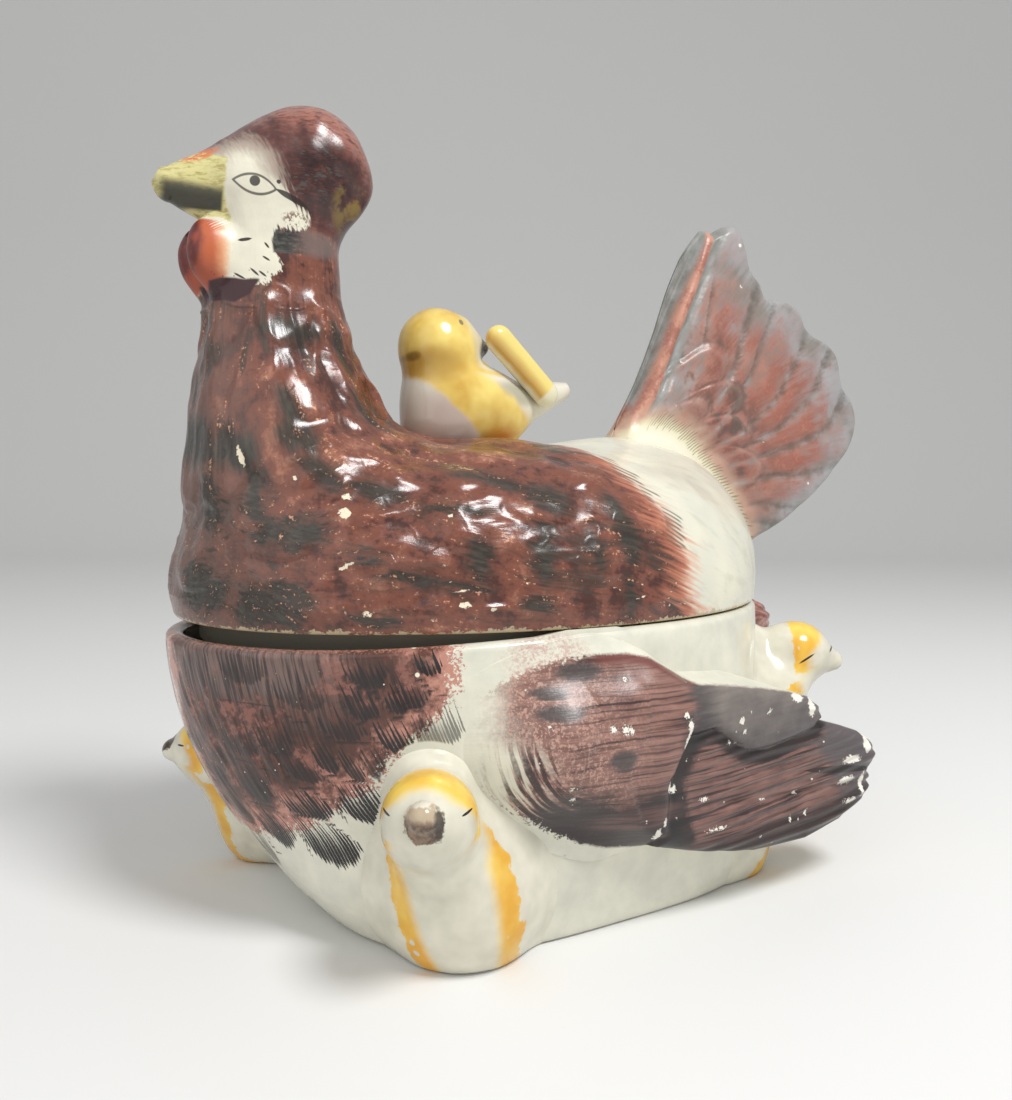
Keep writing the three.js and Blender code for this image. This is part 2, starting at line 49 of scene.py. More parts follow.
# Sizes are in millimetres in the frame of the CAD model: the hen faces -X, her left side is toward -Y.
# Ovals are given by half their length and half their width.
SEAM = 84.0
RIM = 83.6
RIM_DIP = 3.6
LID = (98.0, 71.0)
BACK_RISE = 51.0
BACK_POWER = 2.7  # how square the back's outline is; 2 is an ellipse
LID_WALL = 7.5
FLANGE = (91.8, 66.3)
FLANGE_WALL = 3.2
FLANGE_DROP = 7.0
DISH = (99.5, 72.5)
DISH_FOOT = (71.0, 66.5)
DISH_WALL = 5.0
DISH_FLOOR = 7.0
LIP_HEIGHT = 1.9  # height of the rim's rounding
FLOOR_FILLET = 8.0  # rounding between the inner wall and the floor


def mix(a, b, t):
    """The value at the share t of the way from a to b."""
    return a + (b - a) * t


def ease(low, high, v):
    """0 below low and 1 above high, with a smooth step between."""
    t = np.clip((v - low) / (high - low), 0.0, 1.0)
    return t * t * (3.0 - 2.0 * t)


def soft(a, b, k):
    """The smaller of two fields, rounded off where they are within k of each other."""
    h = np.maximum(k - np.abs(a - b), 0.0) / k
    return np.minimum(a, b) - h * h * k / 4.0


def table(stations, at):
    """A smooth cubic curve through the rows of stations, whose first column is the place along it."""
    rows = np.asarray(stations, float)
    x, y = rows[:, 0], rows[:, 1:]
    slope = np.gradient(y, x, axis=0)
    at = np.clip(at, x[0], x[-1])
    i = np.clip(np.searchsorted(x, at, side="right") - 1, 0, len(x) - 2)
    h = x[i + 1] - x[i]
    t = ((at - x[i]) / h)[..., None]
    h = h[..., None]
    t2, t3 = t * t, t * t * t
    return (
        (2 * t3 - 3 * t2 + 1) * y[i]
        + (t3 - 2 * t2 + t) * h * slope[i]
        + (3 * t2 - 2 * t3) * y[i + 1]
        + (t3 - t2) * h * slope[i + 1]
    )


def ellipsoid(p, centre, radii, lean=0.0, turn=0.0):
    """Nearly the distance to an ellipsoid: k(k-1)/g, where k is the length of p over the radii."""
    t, l = math.radians(turn), math.radians(lean)
    d = p - np.asarray(centre, float)
    u = d[..., 0] * math.cos(t) + d[..., 1] * math.sin(t)
    q = (d[..., 1] * math.cos(t) - d[..., 0] * math.sin(t)) / radii[1]
    s = (u * math.cos(l) + d[..., 2] * math.sin(l)) / radii[0]
    r = (d[..., 2] * math.cos(l) - u * math.sin(l)) / radii[2]
    k = np.sqrt(s * s + q * q + r * r)
    g = np.sqrt((s / radii[0]) ** 2 + (q / radii[1]) ** 2 + (r / radii[2]) ** 2)
    return k * (k - 1.0) / np.maximum(g, 1e-9)


def bar(p, a, b, ra, rb):
    """Distance to a round bar from a to b whose radius runs from ra to rb."""
    a, b = np.asarray(a, float), np.asarray(b, float)
    line = b - a
    t = np.clip(((p - a) @ line) / (line @ line), 0.0, 1.0)
    return np.linalg.norm(p - a - t[..., None] * line, axis=-1) - mix(ra, rb, t)


def reach(field, start, ray, far=130.0):
    """How far along each ray, coming in from far away, the surface where the field is 0 lies.
    It walks in by three quarters of the distance at a time, then halves the last step."""
    shape = ray.shape[:-1]
    start = np.broadcast_to(start, ray.shape).reshape(-1, 3)
    ray = ray.reshape(-1, 3)
    t = np.full(len(ray), far)
    last = t.copy()
    live = np.arange(len(ray))
    for _ in range(160):
        d = field(start[live] + ray[live] * t[live, None])
        live, d = live[d > 0], d[d > 0]
        if not len(live):
            break
        last[live] = t[live]
        t[live] = np.maximum(t[live] - np.clip(d * 0.75, 0.3, 10.0), 0.0)
        live = live[t[live] > 0]
    low, high = t, last
    for _ in range(13):
        middle = (low + high) / 2
        out = field(start + ray * middle[:, None]) > 0
        high = np.where(out, middle, high)
        low = np.where(out, low, middle)
    return np.maximum((low + high) / 2, 0.05).reshape(shape)


def cloud(p, size, seed):
    """Smooth random values from -1 to 1: random lattice values mixed with eased weights.
    The large numbers scramble each lattice cell's place and the seed into its value."""
    q = np.asarray(p, float) / size + seed * 17.31
    cell = np.floor(q).astype(np.int64)
    t = q - cell
    t = t * t * (3 - 2 * t)
    total = 0.0
    for corner in range(2 ** q.shape[-1]):
        bits = [(corner >> axis) & 1 for axis in range(q.shape[-1])]
        code = np.zeros(q.shape[:-1], np.int64) + seed * 7919
        weight = 1.0
        for axis, bit in enumerate(bits):
            code = (code * 73856093) ^ ((cell[..., axis] + bit) * (19349663 + 2 * axis * 1299709))
            weight = weight * (t[..., axis] if bit else 1 - t[..., axis])
        code = (code ^ (code >> 13)) * 1274126177
        total = total + weight * (((code ^ (code >> 16)) & 0xFFFF) / 32767.5 - 1.0)
    return total


def outline(u, v, corners):
    """Distance to a closed outline in a plane, positive inside it."""
    points = np.asarray(corners, float)
    nearest = np.full(np.shape(u), 1e9)
    inside = np.zeros(np.shape(u), bool)
    for a, b in zip(points, np.roll(points, -1, axis=0)):
        e = b - a
        t = np.clip(((u - a[0]) * e[0] + (v - a[1]) * e[1]) / (e @ e), 0, 1)
        nearest = np.minimum(nearest, np.hypot(u - a[0] - t * e[0], v - a[1] - t * e[1]))
        crosses = (a[1] > v) != (b[1] > v)
        rise = b[1] - a[1] if b[1] != a[1] else 1e-9
        inside ^= crosses & (u < a[0] + (v - a[1]) * e[0] / rise)
    return np.where(inside, nearest, -nearest)


def grid_normals(points):
    """Normals of a grid closed round its columns, from the differences to its neighbours."""
    along = np.gradient(points, axis=0)
    around = np.roll(points, -1, axis=1) - np.roll(points, 1, axis=1)
    normals = np.cross(around, along)
    return normals / np.maximum(np.linalg.norm(normals, axis=-1, keepdims=True), 1e-12)


def blur(values, times):
    """Evens out values on a grid closed round its columns."""
    for _ in range(times):
        values = (values + np.roll(values, 1, axis=1) + np.roll(values, -1, axis=1)) / 3
        rows = np.pad(values, ((1, 1), (0, 0)), mode="edge")
        values = (rows[:-2] + rows[1:-1] + rows[2:]) / 3
    return values


class Skins:
    """Collects closed grid surfaces, each with its paint, into one object."""

    def __init__(self):
        self.points, self.faces, self.maps, self.paint = [], [], [], {}
        self.count = 0

    def add(self, grid, uv=None, paint=None, start=None, folded=False):
        """A grid whose columns close into a ring; its first and last rings close on one point each.
        A folded grid's last ring is flat instead, and its two sides are joined along it."""
        rows, cols = grid.shape[:2]
        start = grid[0].mean(axis=0) if start is None else np.asarray(start, float)
        points = np.concatenate([grid.reshape(-1, 3), start[None], grid[-1].mean(axis=0)[None]])
        index = np.arange(rows * cols).reshape(rows, cols)
        if folded:
            index[-1] = np.minimum(index[-1], np.roll(index[-1][::-1], 1))
        nxt = np.roll(index, -1, axis=1)
        quads = np.stack([index[:-1], nxt[:-1], nxt[1:], index[1:]], -1).reshape(-1, 4)
        first = np.stack([nxt[0], index[0], np.full(cols, rows * cols)], -1)
        last = np.stack([index[-1], nxt[-1], np.full(cols, rows * cols + 1)], -1)
        last = last[: 0 if folded else cols]
        if uv is None:
            turn = np.arange(cols + 1) / cols
            uv = np.stack(np.broadcast_arrays(turn[None], np.linspace(0, 1, rows)[:, None]), -1)
        wide = np.arange(rows * (cols + 1)).reshape(rows, cols + 1)
        corner = np.stack([wide[:-1, :-1], wide[:-1, 1:], wide[1:, 1:], wide[1:, :-1]], -1)
        flat = uv.reshape(-1, 2)
        quad_uv = flat[corner.reshape(-1, 4)]
        first_uv = flat[np.stack([wide[0, 1:], wide[0, :-1], wide[0, :-1]], -1)]
        last_uv = flat[np.stack([wide[-1, :-1], wide[-1, 1:], wide[-1, :-1]], -1)][: len(last)]
        a, b, c = points[quads[:, 0]], points[quads[:, 1]], points[quads[:, 2]]
        if np.einsum("ij,ij->i", a, np.cross(b, c)).sum() < 0:
            quads, first, last = quads[:, ::-1], first[:, ::-1], last[:, ::-1]
            quad_uv, first_uv, last_uv = quad_uv[:, ::-1], first_uv[:, ::-1], last_uv[:, ::-1]
        for name, values in (paint or {}).items():
            values = np.broadcast_to(values, grid.shape[:2] + np.shape(values)[2:])
            ends = np.stack([values[0].mean(axis=0), values[-1].mean(axis=0)])
            flat_values = np.concatenate([values.reshape((-1,) + values.shape[2:]), ends])
            self.paint.setdefault(name, []).append((self.count, flat_values))
        self.points.append(points)
        self.faces += [quads + self.count, first + self.count, last + self.count]
        self.maps += [quad_uv, first_uv, last_uv]
        self.count += len(points)
        return self

    def make(self, name, body, slot, material, nodes):
        """Makes the object in metres, smooth, riding on its body and standing for its CAD nodes."""
        points = np.concatenate(self.points) * 0.001
        corners = np.concatenate([f.ravel() for f in self.faces])
        used, corners = np.unique(corners, return_inverse=True)
        points = points[used]
        sizes = np.concatenate([np.full(len(f), f.shape[1]) for f in self.faces])
        starts = np.concatenate([[0], np.cumsum(sizes)[:-1]])
        mesh = bpy.data.meshes.new(name)
        mesh.vertices.add(len(points))
        mesh.vertices.foreach_set("co", points.astype(np.float32).ravel())
        mesh.loops.add(len(corners))
        mesh.loops.foreach_set("vertex_index", corners.astype(np.int32))
        mesh.polygons.add(len(sizes))
        mesh.polygons.foreach_set("loop_start", starts.astype(np.int32))
        mesh.update(calc_edges=True)
        mesh.polygons.foreach_set("use_smooth", np.ones(len(sizes), bool))
        uv = np.concatenate([m.reshape(-1, 2) for m in self.maps])
        mesh.uv_layers.new(name="plumage").data.foreach_set("uv", uv.astype(np.float32).ravel())
        for title, parts in self.paint.items():
            width = parts[0][1].shape[1:]
            values = np.zeros((self.count,) + width)
            for at, part in parts:
                values[at : at + len(part)] = part
            values = values[used]
            if width:
                values = np.concatenate([values, np.ones((len(used), 1))], axis=1)
                layer = mesh.attributes.new(title, "FLOAT_COLOR", "POINT")
                layer.data.foreach_set("color", values.astype(np.float32).ravel())
            else:
                layer = mesh.attributes.new(title, "FLOAT", "POINT")
                layer.data.foreach_set("value", values.astype(np.float32))
        mesh.validate()
        mesh.materials.append(material)
        item = bpy.data.objects.new(name, mesh)
        bpy.context.scene.collection.objects.link(item)
        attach(item, body)
        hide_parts(*nodes)
        return item


def tint(red, green, blue):
    """A screen colour of 0 to 255 as a shader colour."""
    c = np.array([red, green, blue]) / 255.0
    return (*np.where(c <= 0.04045, c / 12.92, ((c + 0.055) / 1.055) ** 2.4), 1.0)


def math_method(operation):
    """A method that adds one Math node: the term first, then the other value if there is one."""
    return lambda term, *other: term.math(operation, term, *other)


class Term:
    """A socket of a material. An expression on it adds the Math nodes that work it out."""

    __add__ = __radd__ = math_method("ADD")
    __mul__ = __rmul__ = math_method("MULTIPLY")
    __sub__ = math_method("SUBTRACT")
    __truediv__ = math_method("DIVIDE")
    __pow__ = math_method("POWER")
    __abs__ = math_method("ABSOLUTE")
    floor = math_method("FLOOR")
    sine = math_method("SINE")
    root = math_method("SQRT")
    least = math_method("MINIMUM")
    most = math_method("MAXIMUM")

    def __init__(self, glaze, socket):
        self.glaze, self.socket = glaze, socket

    def math(self, operation, *values):
        """The result of one Math node."""
        return self.glaze.node("ShaderNodeMath", {"operation": operation}, dict(enumerate(values)))

    def __rsub__(self, other):
        return self.math("SUBTRACT", other, self)

    def sway(self, amount):
        """The swing of a noise about its mean of 0.5, times the amount."""
        return (self - 0.5) * amount

    def rise(self, low, high):
        """0 where the value is at low and 1 where it is at high, eased; low may be the larger."""
        settings = {"interpolation_type": "SMOOTHSTEP", "clamp": True}
        inputs = {"Value": self, "From Min": low, "From Max": high, "To Min": 0.0, "To Max": 1.0}
        if not isinstance(low, Term) and not isinstance(high, Term) and low > high:
            inputs.update({"From Min": high, "From Max": low, "To Min": 1.0, "To Max": 0.0})
        return self.glaze.node("ShaderNodeMapRange", settings, inputs)


class Glaze:
    """One fired glaze: a node material that ends in a Principled shader."""

    def __init__(self, name):
        self.material = bpy.data.materials.new(name)
        self.material.use_nodes = True
        self.tree = self.material.node_tree
        self.tree.nodes.clear()
        self.kept = {}
        self.paint = None

    def node(self, kind, settings=None, inputs=None, output=0):
        """Adds a node of any kind: its settings first, then the values or links of its sockets.
        A vector may also be given as three amounts."""
        made = self.tree.nodes.new(kind)
        for key, value in (settings or {}).items():
            setattr(made, key, value)
        for key, value in (inputs or {}).items():
            socket = made.inputs[key]
            if key == "Vector" and isinstance(value, tuple):
                value = self.joined(*value)
            if isinstance(value, Term):
                self.tree.links.new(value.socket, socket)
            else:
                socket.default_value = value
        return Term(self, made.outputs[output])

    def attribute(self, name, output="Fac"):
        """Values painted on the points of the mesh."""
        key = (name, output)
        if key not in self.kept:
            self.kept[key] = self.node("ShaderNodeAttribute", {"attribute_name": name}, None, output)
        return self.kept[key]

    def place(self):
        """The point of the surface in millimetres, as a vector."""
        if "place" not in self.kept:
            metres = self.node("ShaderNodeTexCoord", None, None, "Object")
            self.kept["place"] = self.node(
                "ShaderNodeVectorMath", {"operation": "SCALE"}, {0: metres, "Scale": 1000.0}
            )
        return self.kept["place"]

    def axes(self, vector):
        """The three amounts in a vector."""
        split = self.node("ShaderNodeSeparateXYZ", None, {0: vector}).socket.node
        return [Term(self, output) for output in split.outputs]

    def joined(self, x, y, z):
        """A vector of three amounts."""
        return self.node("ShaderNodeCombineXYZ", None, {0: x, 1: y, 2: z})

    def uv(self):
        """The two coordinates of the mesh's map."""
        if "uv" not in self.kept:
            found = self.node("ShaderNodeUVMap", {"uv_map": "plumage"})
            self.kept["uv"] = self.axes(found)[:2]
        return self.kept["uv"]

    def moved(self, vector, *by):
        """The vector moved by three amounts."""
        inputs = {0: vector, 1: self.joined(*by)}
        return self.node("ShaderNodeVectorMath", {"operation": "ADD"}, inputs)

    def noise(self, vector, scale, detail=2.0, rough=0.5):
        """Noise with a mean near 0.5 over a vector in millimetres; scale is in 1/mm."""
        inputs = {"Vector": vector, "Scale": scale, "Detail": detail, "Roughness": rough}
        return self.node("ShaderNodeTexNoise", None, inputs)

    def spots(self, vector, scale):
        """Distance to scattered points, in units of their spacing."""
        return self.node("ShaderNodeTexVoronoi", None, {"Vector": vector, "Scale": scale})

    def random(self, number, seed):
        """One value from 0 to 1 for each number and seed."""
        inputs = {"Vector": (number, seed, 0.0)}
        return self.node("ShaderNodeTexWhiteNoise", {"noise_dimensions": "2D"}, inputs)

    def colour(self, a, b, mask):
        """Colour a, covered by colour b where the mask is 1; screen colours are three amounts to 255."""
        mixer = self.tree.nodes.new("ShaderNodeMix")
        mixer.data_type = "RGBA"
        for socket, value in zip((mixer.inputs[0], mixer.inputs[6], mixer.inputs[7]), (mask, a, b)):
            if isinstance(value, Term):
                self.tree.links.new(value.socket, socket)
            elif isinstance(value, (int, float)):
                socket.default_value = value
            else:
                socket.default_value = tint(*value)
        return Term(self, mixer.outputs[2])

    def ground(self, a, b, mask):
        """Starts the paint with colour a, covered by colour b where the mask is 1."""
        self.paint = self.colour(a, b, mask)

    def coat(self, shade, mask):
        """Covers the paint so far with a shade where the mask is 1."""
        self.paint = self.colour(self.paint, shade, mask)

    def finish(self, roughness, height=None, specular=0.5):
        """Ends the material with the paint; height is in millimetres of relief."""
        inputs = {"Base Color": self.paint, "Roughness": roughness, "Specular IOR Level": specular}
        if height is not None:
            bump = {"Height": height, "Distance": 0.001, "Strength": 1.0}
            inputs["Normal"] = self.node("ShaderNodeBump", None, bump)
        shader = self.node("ShaderNodeBsdfPrincipled", None, inputs)
        output = self.tree.nodes.new("ShaderNodeOutputMaterial")
        self.tree.links.new(shader.socket, output.inputs["Surface"])
        return self.material


# The hen's upper body. Stations of the neck: height, middle, half length, half width.
NECK = [
    (106, -55, 33, 44), (122, -60, 33, 38), (138, -65.5, 28, 29.5), (153, -68, 23.5, 23),
    (169, -69.5, 19.2, 18), (184, -69.5, 17.8, 16.5), (196, -69.5, 17, 15.5),
]
# Planes that fan up over the back, up the neck and over the crown to the tip of the beak:
# x and z of the core point, and the plane's tilt in degrees.
FAN = [
    (0, 84, 0), (-2, 91, 2.7), (-5, 97, 5.2), (-9, 103.5, 8), (-14, 109, 10.5), (-22, 114.4, 13.4),
    (-33, 119.5, 17), (-45, 124.8, 21.3), (-56, 129.6, 25.6), (-61, 134.5, 24), (-64, 141.5, 15.5),
    (-66.5, 149.5, 6), (-68, 157, 0), (-69, 164, 0), (-69, 171, 1), (-69, 178, 8), (-69, 185, 15),
    (-69, 192, 22.5), (-70, 199, 29.5), (-73, 204.5, 36), (-79, 207.5, 42.5), (-87, 208, 49.5),
    (-94, 206.5, 55.5), (-98.5, 204.8, 60), (-102.8, 202.6, 63),
]
# The head piece meets the body piece on this plane of the fan, low on the neck.
NECK_JOINT = 13.6
OVERLAP = 0.6  # how far each piece runs on past it, in planes of the fan
SINK = 2.2  # how deep it lies there
FEATHER = 22.0  # length of a feather's bare part on the body


def dome(p, thinner=0.0):
    """The lid's rounded back: the length over its oval and the rise over its height, each raised to one
    power, add up to 1 on the surface. Thinner by the wall, it is the inside."""
    plan = np.hypot(p[..., 0] / (LID[0] - thinner), p[..., 1] / (LID[1] - thinner))
    up = np.maximum(p[..., 2] - SEAM, 0) / (BACK_RISE - thinner)
    return ((plan**BACK_POWER + up**BACK_POWER) ** (1 / BACK_POWER) - 1) * (BACK_RISE + 12)


def column(p, thinner=0.0):
    """The neck: an oval at each height through the stations, with the distance as for an ellipsoid."""
    z = p[..., 2]
    middle, a, b = np.moveaxis(table(NECK, z), -1, 0)
    a, b = a - thinner, b - thinner
    u, v = (p[..., 0] - middle) / a, p[..., 1] / b
    k = np.hypot(u, v)
    side = k * (k - 1) / np.maximum(np.hypot(u / a, v / b), 1e-9)
    top = -soft(-side, NECK[-1][0] - thinner * 2 - z, 12)
    return np.maximum(top, NECK[0][0] - 30 - z)


# Lumps of the hood behind the face: place on her left side, radius, height.
HOOD_LUMPS = [
    ((-70, 7, 221), 7, 1.0),
    ((-61, 13, 220.5), 6.5, 1.9),
    ((-54, 14, 212), 5.5, 2.3),
    ((-46.5, 9, 206), 6, 1.7),
    ((-49, 10, 198), 5, 1.7),
    ((-56, 13.5, 194.5), 5.5, 1.8),
    ((-64.5, 16.5, 211), 5.5, 1.3),
    ((-60, 17, 202), 5, 1.4),
    ((-66.5, 15, 200), 4.5, 0.8),
    ((-58, 15.5, 207), 3.4, -1.2),
    ((-52, 12.5, 203), 3.2, -1.3),
    ((-58.5, 14, 216), 3.2, -0.9),
]


def head(p):
    """An ellipsoid for the face, another with round lumps for the hood, bars for both halves of the
    beak and an ellipsoid for each wattle, blended softly."""
    far = np.stack([p[..., 0], np.abs(p[..., 1]), p[..., 2]], -1)
    d = ellipsoid(p, (-69, 0, 203), (19.5, 16.5, 20))
    hood = ellipsoid(p, (-60, 0, 211.5), (17.8, 17.5, 17.8), -12)
    for centre, radius, rise in HOOD_LUMPS:
        away = far - np.asarray(centre, float)
        hood = hood - rise * np.exp(-np.einsum("...i,...i->...", away, away) / radius**2)
    d = soft(d, hood, 5.5)
    d = soft(d, bar(p, (-84, 0, 205), (-99, 0, 202.6), 9.5, 4), 5)
    d = soft(d, bar(p, (-87, 0, 199.5), (-98, 0, 200.6), 7, 3), 3)
    return soft(d, ellipsoid(far, (-88.8, 5.6, 183.8), (6.6, 6, 9.4), 8), 1.8)


def torso(p):
    """The back, an ellipsoid for the rump and the neck, blended softly."""
    d = soft(dome(p), ellipsoid(p, (56, 0, 104), (42, 36, 34), -12), 14)
    return soft(d, column(p), 16)


def hen(p):
    """The whole outside of the lid without its tail."""
    return soft(torso(p), head(p), 6)


def hollow(p):
    """The inside of the lid."""
    return soft(dome(p, LID_WALL), column(p, LID_WALL - 1), 14)


def fan(field, places, columns):
    """Rays in tilted planes from the core line out to the surface: one ring for each place."""
    core = table(np.column_stack([np.arange(len(FAN)), FAN]), places)
    tilt = np.radians(core[:, 2])[:, None]
    turn = np.arange(columns)[None] / columns * 2 * np.pi
    ray = [np.cos(turn) * np.cos(tilt), np.sin(turn) + 0 * tilt, np.cos(turn) * np.sin(tilt)]
    ray = np.stack(ray, -1)
    start = np.stack([core[:, 0], 0 * core[:, 0], core[:, 1]], -1)[:, None]
    return start + ray * reach(field, start, ray)[..., None]


def rows_between(stops, counts):
    """Places from stop to stop with that many steps between each pair."""
    parts = [np.linspace(a, b, n, endpoint=False) for a, b, n in zip(stops, stops[1:], counts)]
    return np.concatenate(parts + [[stops[-1]]])


def feathers_in_row(row):
    """How many feathers go round in a row, counted from the neck joint down."""
    return np.clip(np.round(9 + row * 2.6), 7, 21)


def feather_relief(u, v):
    """Height of overlapping round feathers, 0 to 1: each rises to its tip and ends over the next row."""
    row = v / FEATHER
    k = np.floor(row)

    def across(which):
        """Place across the feather of that row, from -0.5 to 0.5."""
        n = feathers_in_row(which)
        place = u * n + 0.5 * (which % 2)
        return place - np.floor(place) - 0.5

    upper, own = across(k - 1), across(k)
    over = row - k < 0.5 * (1 - (2 * upper) ** 2)
    a = np.where(over, upper, own)
    b = np.where(over, row - k + 1, row - k)
    return ease(-0.1, 1.25, b) * (1 - 0.55 * np.abs(2 * a) ** 2.5)


def wrapped(u, v):
    """Adds the closing column, one turn on."""
    u = np.concatenate([u, u[:, :1] + 1], axis=1)
    return np.stack([u, np.concatenate([v, v[:, :1]], axis=1)], -1)


# Slate patches brushed over the brown, on her left side: middle, half length, half width and lean.
DUSK = [
    (-71.8, -19.8, 162.4, 8.8, 4.5, 0), (-57.1, -18.2, 158.4, 8.5, 2.2, -72),
    (-54.6, -24.7, 142.8, 7, 2.2, -60), (-73.8, -28, 138.5, 9, 3, -75), (-86.4, -22.2, 129.4, 6, 6, 0),
    (-92.8, -6.3, 133, 3.6, 7, 0), (-91.8, -16.9, 116.3, 2.5, 7, 0), (-78.1, -40.3, 108.5, 9.5, 4.5, 5),
    (-69.8, -38.6, 123.4, 6, 2, -40), (-57.5, -46.6, 118.8, 6.5, 3, -15), (-82.2, -39.9, 90.9, 11, 7, 20),
    (-94.9, -18.5, 94.1, 6, 7, 0), (-42.1, -56.1, 114.2, 8, 1.8, -5), (-63.1, -53, 102.5, 6, 2, -15),
    (-48.2, -60.8, 97.4, 13, 2.2, -12), (-62.2, -55.1, 87.9, 7, 2.3, -5), (-73.3, -30.8, 133, 5, 5, 0),
    (-37.6, -63.7, 101.8, 3.5, 6.5, 0), (-20.6, -67.4, 103.2, 9, 4.2, 80),
    (-23.4, -68.7, 91.1, 4.5, 2.3, 0), (4.6, -66.2, 109.8, 11, 4, 105), (20.6, -69.1, 92.5, 3, 6.5, 0),
    (-14.9, -60.6, 117.2, 6.5, 4, -15), (-42.2, -63.4, 95.9, 8, 2, -12), (4.3, -70.6, 92.2, 2.8, 7, 0),
    (5.2, -35.5, 131.8, 7, 2.5, 0), (-84, -34, 119, 3, 8, 0), (-30, -52, 122, 9, 1.8, -10),
    (-6, -64, 103, 3, 7, 10),
]


# Chips and scratches through the brown to the white, on her left side, in the same way.
CHIPS = [
    (-85.9, -23.2, 128.2, 0.8, 3.0, 8), (-75.3, -36.5, 121.9, 0.8, 0.8, 0),
    (-65.2, -45, 117.5, 1.3, 1.0, 0), (-66.3, -46.7, 113.4, 1.7, 1.6, 20),
    (-67.4, -50.3, 100.9, 2.2, 0.7, 30), (-63.4, -54.5, 89.4, 1.3, 1.0, 0),
    (-41.7, -64, 91.4, 1.7, 1.1, 0), (-42.4, -57.3, 112.5, 0.9, 0.7, 0), (-35.1, -66, 90.2, 1.1, 0.9, 0),
    (-42.5, -63.5, 94.8, 2.4, 0.4, 8), (-26.4, -67.3, 97.9, 0.3, 3.2, 0),
    (0.1, -70.5, 93.9, 3.4, 0.35, -18), (7.8, -70.5, 91.3, 2.2, 0.35, 10),
    (18.8, -69.5, 89.6, 0.35, 2.4, 0), (16.5, -69.6, 90.5, 2.6, 0.3, 0),
    (-11.9, -69.7, 96.5, 0.4, 0.5, 0), (-76.6, -42.8, 106, 0.6, 0.5, 0), (21, -69.2, 94, 0.3, 2.8, 6),
]


def deepest(p, places, thick=13.0):
    """How deep inside the nearest of some ovals on either side, in millimetres; negative outside."""
    far = np.stack([p[..., 0], -np.abs(p[..., 1]), p[..., 2]], -1)
    depth = np.full(p.shape[:-1], -30.0)
    for x, y, z, length, width, lean in places:
        depth = np.maximum(depth, -ellipsoid(far, (x, y, z), (length, thick, width), lean))
    return depth


# The rump is left white behind this line, seen from the side: x and z of the painted edge.
RUMP_LINE = [
    (84, 31), (92, 25), (102, 25.5), (109, 22.5), (117, 18.5), (125, 15.5), (131, 9), (136, 2), (150, -4),
]


def rump_distance(p):
    """How far behind the painted edge of the rump, in millimetres."""
    edge = table(RUMP_LINE, p[..., 2])[..., 0]
    return p[..., 0] - edge + 1.0 * cloud(p, 9, 11)


def plumage_relief(grid, u, v):
    """Millimetres of relief: broad overlapping feathers, folds down the neck, lumps and creases."""
    scales = 0.9 * feather_relief(u, v)
    folds = 0.45 * np.sin(u * 2 * np.pi * 9 + 2 * cloud(grid, 28, 62)) * ease(108, 130, grid[..., 2])
    lumps = 0.7 * cloud(grid, 15, 21) + 0.45 * cloud(grid, 7.5, 22) + 0.16 * cloud(grid, 3.5, 23)
    crest = 0.8 * np.exp(-8 * np.abs(cloud(grid, 12, 61)))
    crest = crest + 0.6 * np.exp(-7 * np.abs(cloud(grid, 6.5, 63)))
    return scales + folds + lumps + crest


def plumed(places, columns):
    """The hen's surface at places of the fan: grid, normals, feather coordinates, relief and paint.
    The coordinates are the turn round the body and the length down from the neck, both wavy."""
    grid = fan(hen, places, columns)
    steps = np.linalg.norm(np.diff(grid, axis=0), axis=-1)
    along = np.concatenate([np.zeros((1, columns)), np.cumsum(steps, axis=0)])
    along = along[np.argmin(np.abs(places - NECK_JOINT))] - along
    turn = np.arange(columns)[None] / columns
    u = turn + 0.004 * np.sin(along / 9 + 3 * np.sin(turn * 6 * np.pi)) + 0 * along
    v = along + 2.4 * cloud(grid, 26, 3) + 1.2 * cloud(grid, 11, 4)
    lumps = plumage_relief(grid, u, v)
    paint = {
        "dusk": deepest(grid, DUSK),
        # lift is the relief's height; the paint turns it into painted shade in the hollows and painted
        # highlight on the raised feathers
        "lift": ease(-0.4, 2.4, lumps),
        "chip": deepest(grid, CHIPS, 6.0),
    }
    return grid, grid_normals(grid), u, v, lumps, paint


def sunk(past):
    """How far a piece sinks in where it runs past the neck joint, under the other piece."""
    return np.clip(past / OVERLAP, 0, 1)[:, None] ** 2 * SINK


